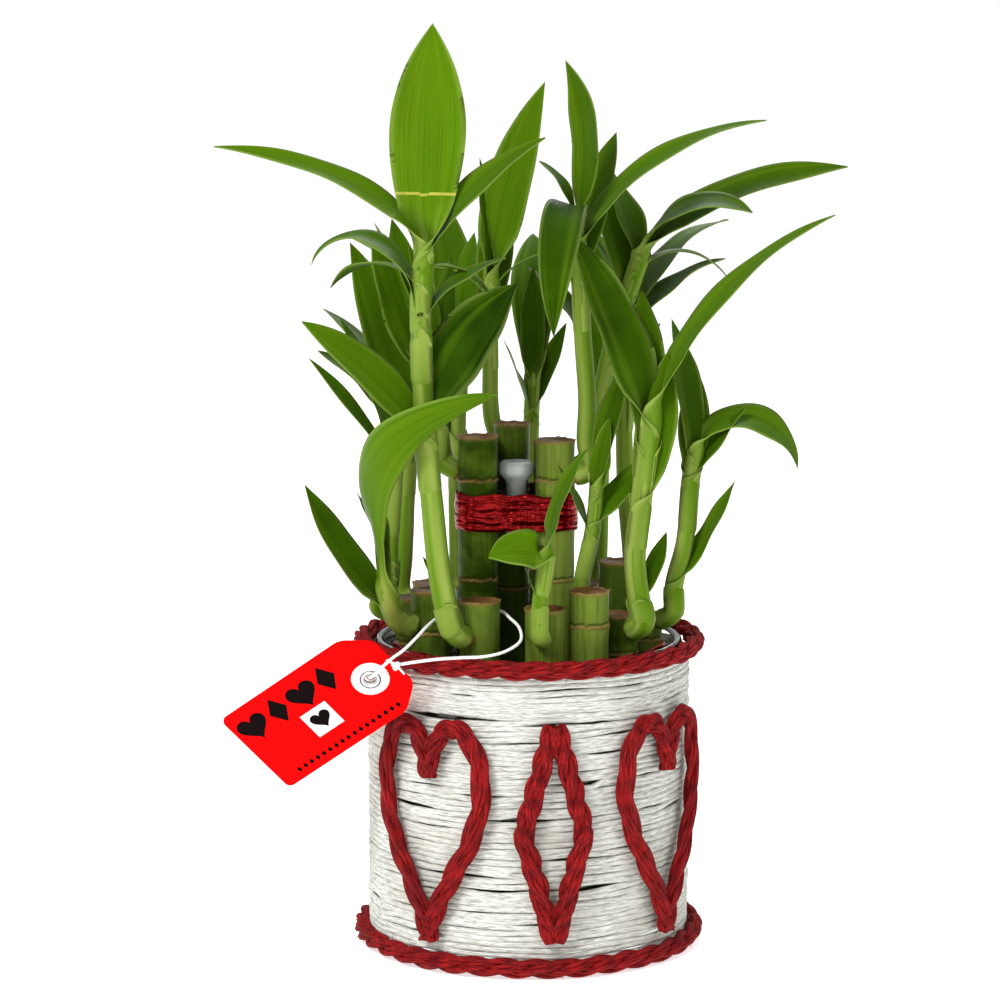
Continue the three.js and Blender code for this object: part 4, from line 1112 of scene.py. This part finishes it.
for number, (solid, (heading, foot, girth, stem, leaves)) in enumerate(SHOOTS.items()):
    draw = random.Random(100 + number)
    x, y, reach = stalk_circles[solid.replace("shoot", "stalk")]
    aside = Vector((math.cos(math.radians(heading)), math.sin(math.radians(heading)), 0))
    root = Vector((x, y, foot * MM))
    bud = root + aside * (STALK_REACH + 4 * MM) + Vector((0, 0, 3.5 * MM))
    points = [root + aside * (reach - 0.4 * MM), bud, *[Vector(point) * MM for point in stem]]
    course = [through(points, i / STEM_STEPS) for i in range(STEM_STEPS + 1)]
    share = SHEATH / sum((q - p).length for p, q in zip(course, course[1:]))
    bases = []
    for shape in leaves:
        base = 0.0
        while base < 0.985 and through(points, base).z < shape[0] * MM:
            base += 0.005
        bases.append(base)
    crown = max(bases) + 0.02

    def stem_radius(along):
        size = girth[0] + (girth[1] - girth[0]) * along
        return size * MM * max(0.02, min(1, 0.8 + along * 4, (crown - along) / 0.03))

    def ribbed(step, angle):
        rib = 0.03 * noise.noise(Vector((3 * math.cos(angle), 3 * math.sin(angle), 0.03 * step + number)))
        return 1 + rib + 0.05 * noise.noise(Vector((0, 0.06 * step, number)))

    bm = new_skin()
    for layer in ("tone", "young", "rim", "husk", "creased"):
        bm.verts.layers.float.new(layer)
    stem_skin = tube(bm, carried(course, stem_radius), 18, ribbed)
    sheet = bm.loops.layers.uv.active
    for face in bm.faces:
        for loop in face.loops:
            loop[sheet].uv = loop[sheet].uv.yx
    for vert, step in stem_skin:
        along = step / STEM_STEPS
        torn = noise.noise(vert.co / (1.6 * MM))
        vert[bm.verts.layers.float["young"]] = 0.85 + 0.15 * math.sin(9 * along + number)
        vert[bm.verts.layers.float["tone"]] = 0.3
        vert[bm.verts.layers.float["creased"]] = 1.0
        vert[bm.verts.layers.float["husk"]] = min(1, max(0, 1.6 - along / (0.025 + 0.03 * torn)))
    for base, shape in zip(bases, leaves):
        blade(bm, points, base, share, stem_radius(min(base, crown - 0.03)), shape, draw)
    piece("leafy_" + solid, bm, "leaf", [leaf_skin], solid)

# ---- Room
# An endless white sweep, so bright that its horizon is lost, and soft studio light: a large key lamp at the
# upper left, a weak one on the right and one behind.
bm = bmesh.new()
bmesh.ops.create_grid(bm, x_segments=1, y_segments=1, size=20)
mesh = bpy.data.meshes.new("floor")
bm.to_mesh(mesh)
bm.free()
floor = bpy.data.objects.new("floor", mesh)
bpy.context.scene.collection.objects.link(floor)
sweep, add = new_finish("white_sweep")
add("ShaderNodeOutputMaterial", {"Surface": add("ShaderNodeBsdfPrincipled", {
    "Base Color": colour("#f6f6f6"), "Roughness": 0.9, "Specular IOR Level": 0.0,
    "Emission Color": colour("#ffffff"), "Emission Strength": 0.6}).outputs[0]})
mesh.materials.append(sweep)

# The sky is white to the eye and lights the object at half that strength.
world = bpy.data.worlds.new("studio")
world.use_nodes = True
sky = world.node_tree.nodes["Background"]
sky.inputs["Color"].default_value = (1, 1, 1, 1)
strength = node(world, "ShaderNodeMapRange", {
    "Value": node(world, "ShaderNodeLightPath").outputs["Is Camera Ray"], "To Min": 0.5, "To Max": 1.0})
world.node_tree.links.new(strength.outputs[0], sky.inputs["Strength"])
bpy.context.scene.world = world
bpy.context.scene.view_settings.view_transform = "Standard"
LIT_SPOT = Vector((0, 0, 0.14))
for name, place, size, power in (("key", (-0.8, -1.2, 1.3), 0.6, 25), ("fill", (1.3, -0.9, 0.8), 1.0, 3),
                                 ("back", (0.3, 1.2, 1.2), 0.9, 8)):
    lamp = bpy.data.objects.new(name, bpy.data.lights.new(name, "AREA"))
    lamp.data.size = size
    lamp.data.energy = power
    lamp.location = place
    lamp.rotation_euler = (LIT_SPOT - Vector(place)).to_track_quat("-Z", "Y").to_euler()
    bpy.context.scene.collection.objects.link(lamp)
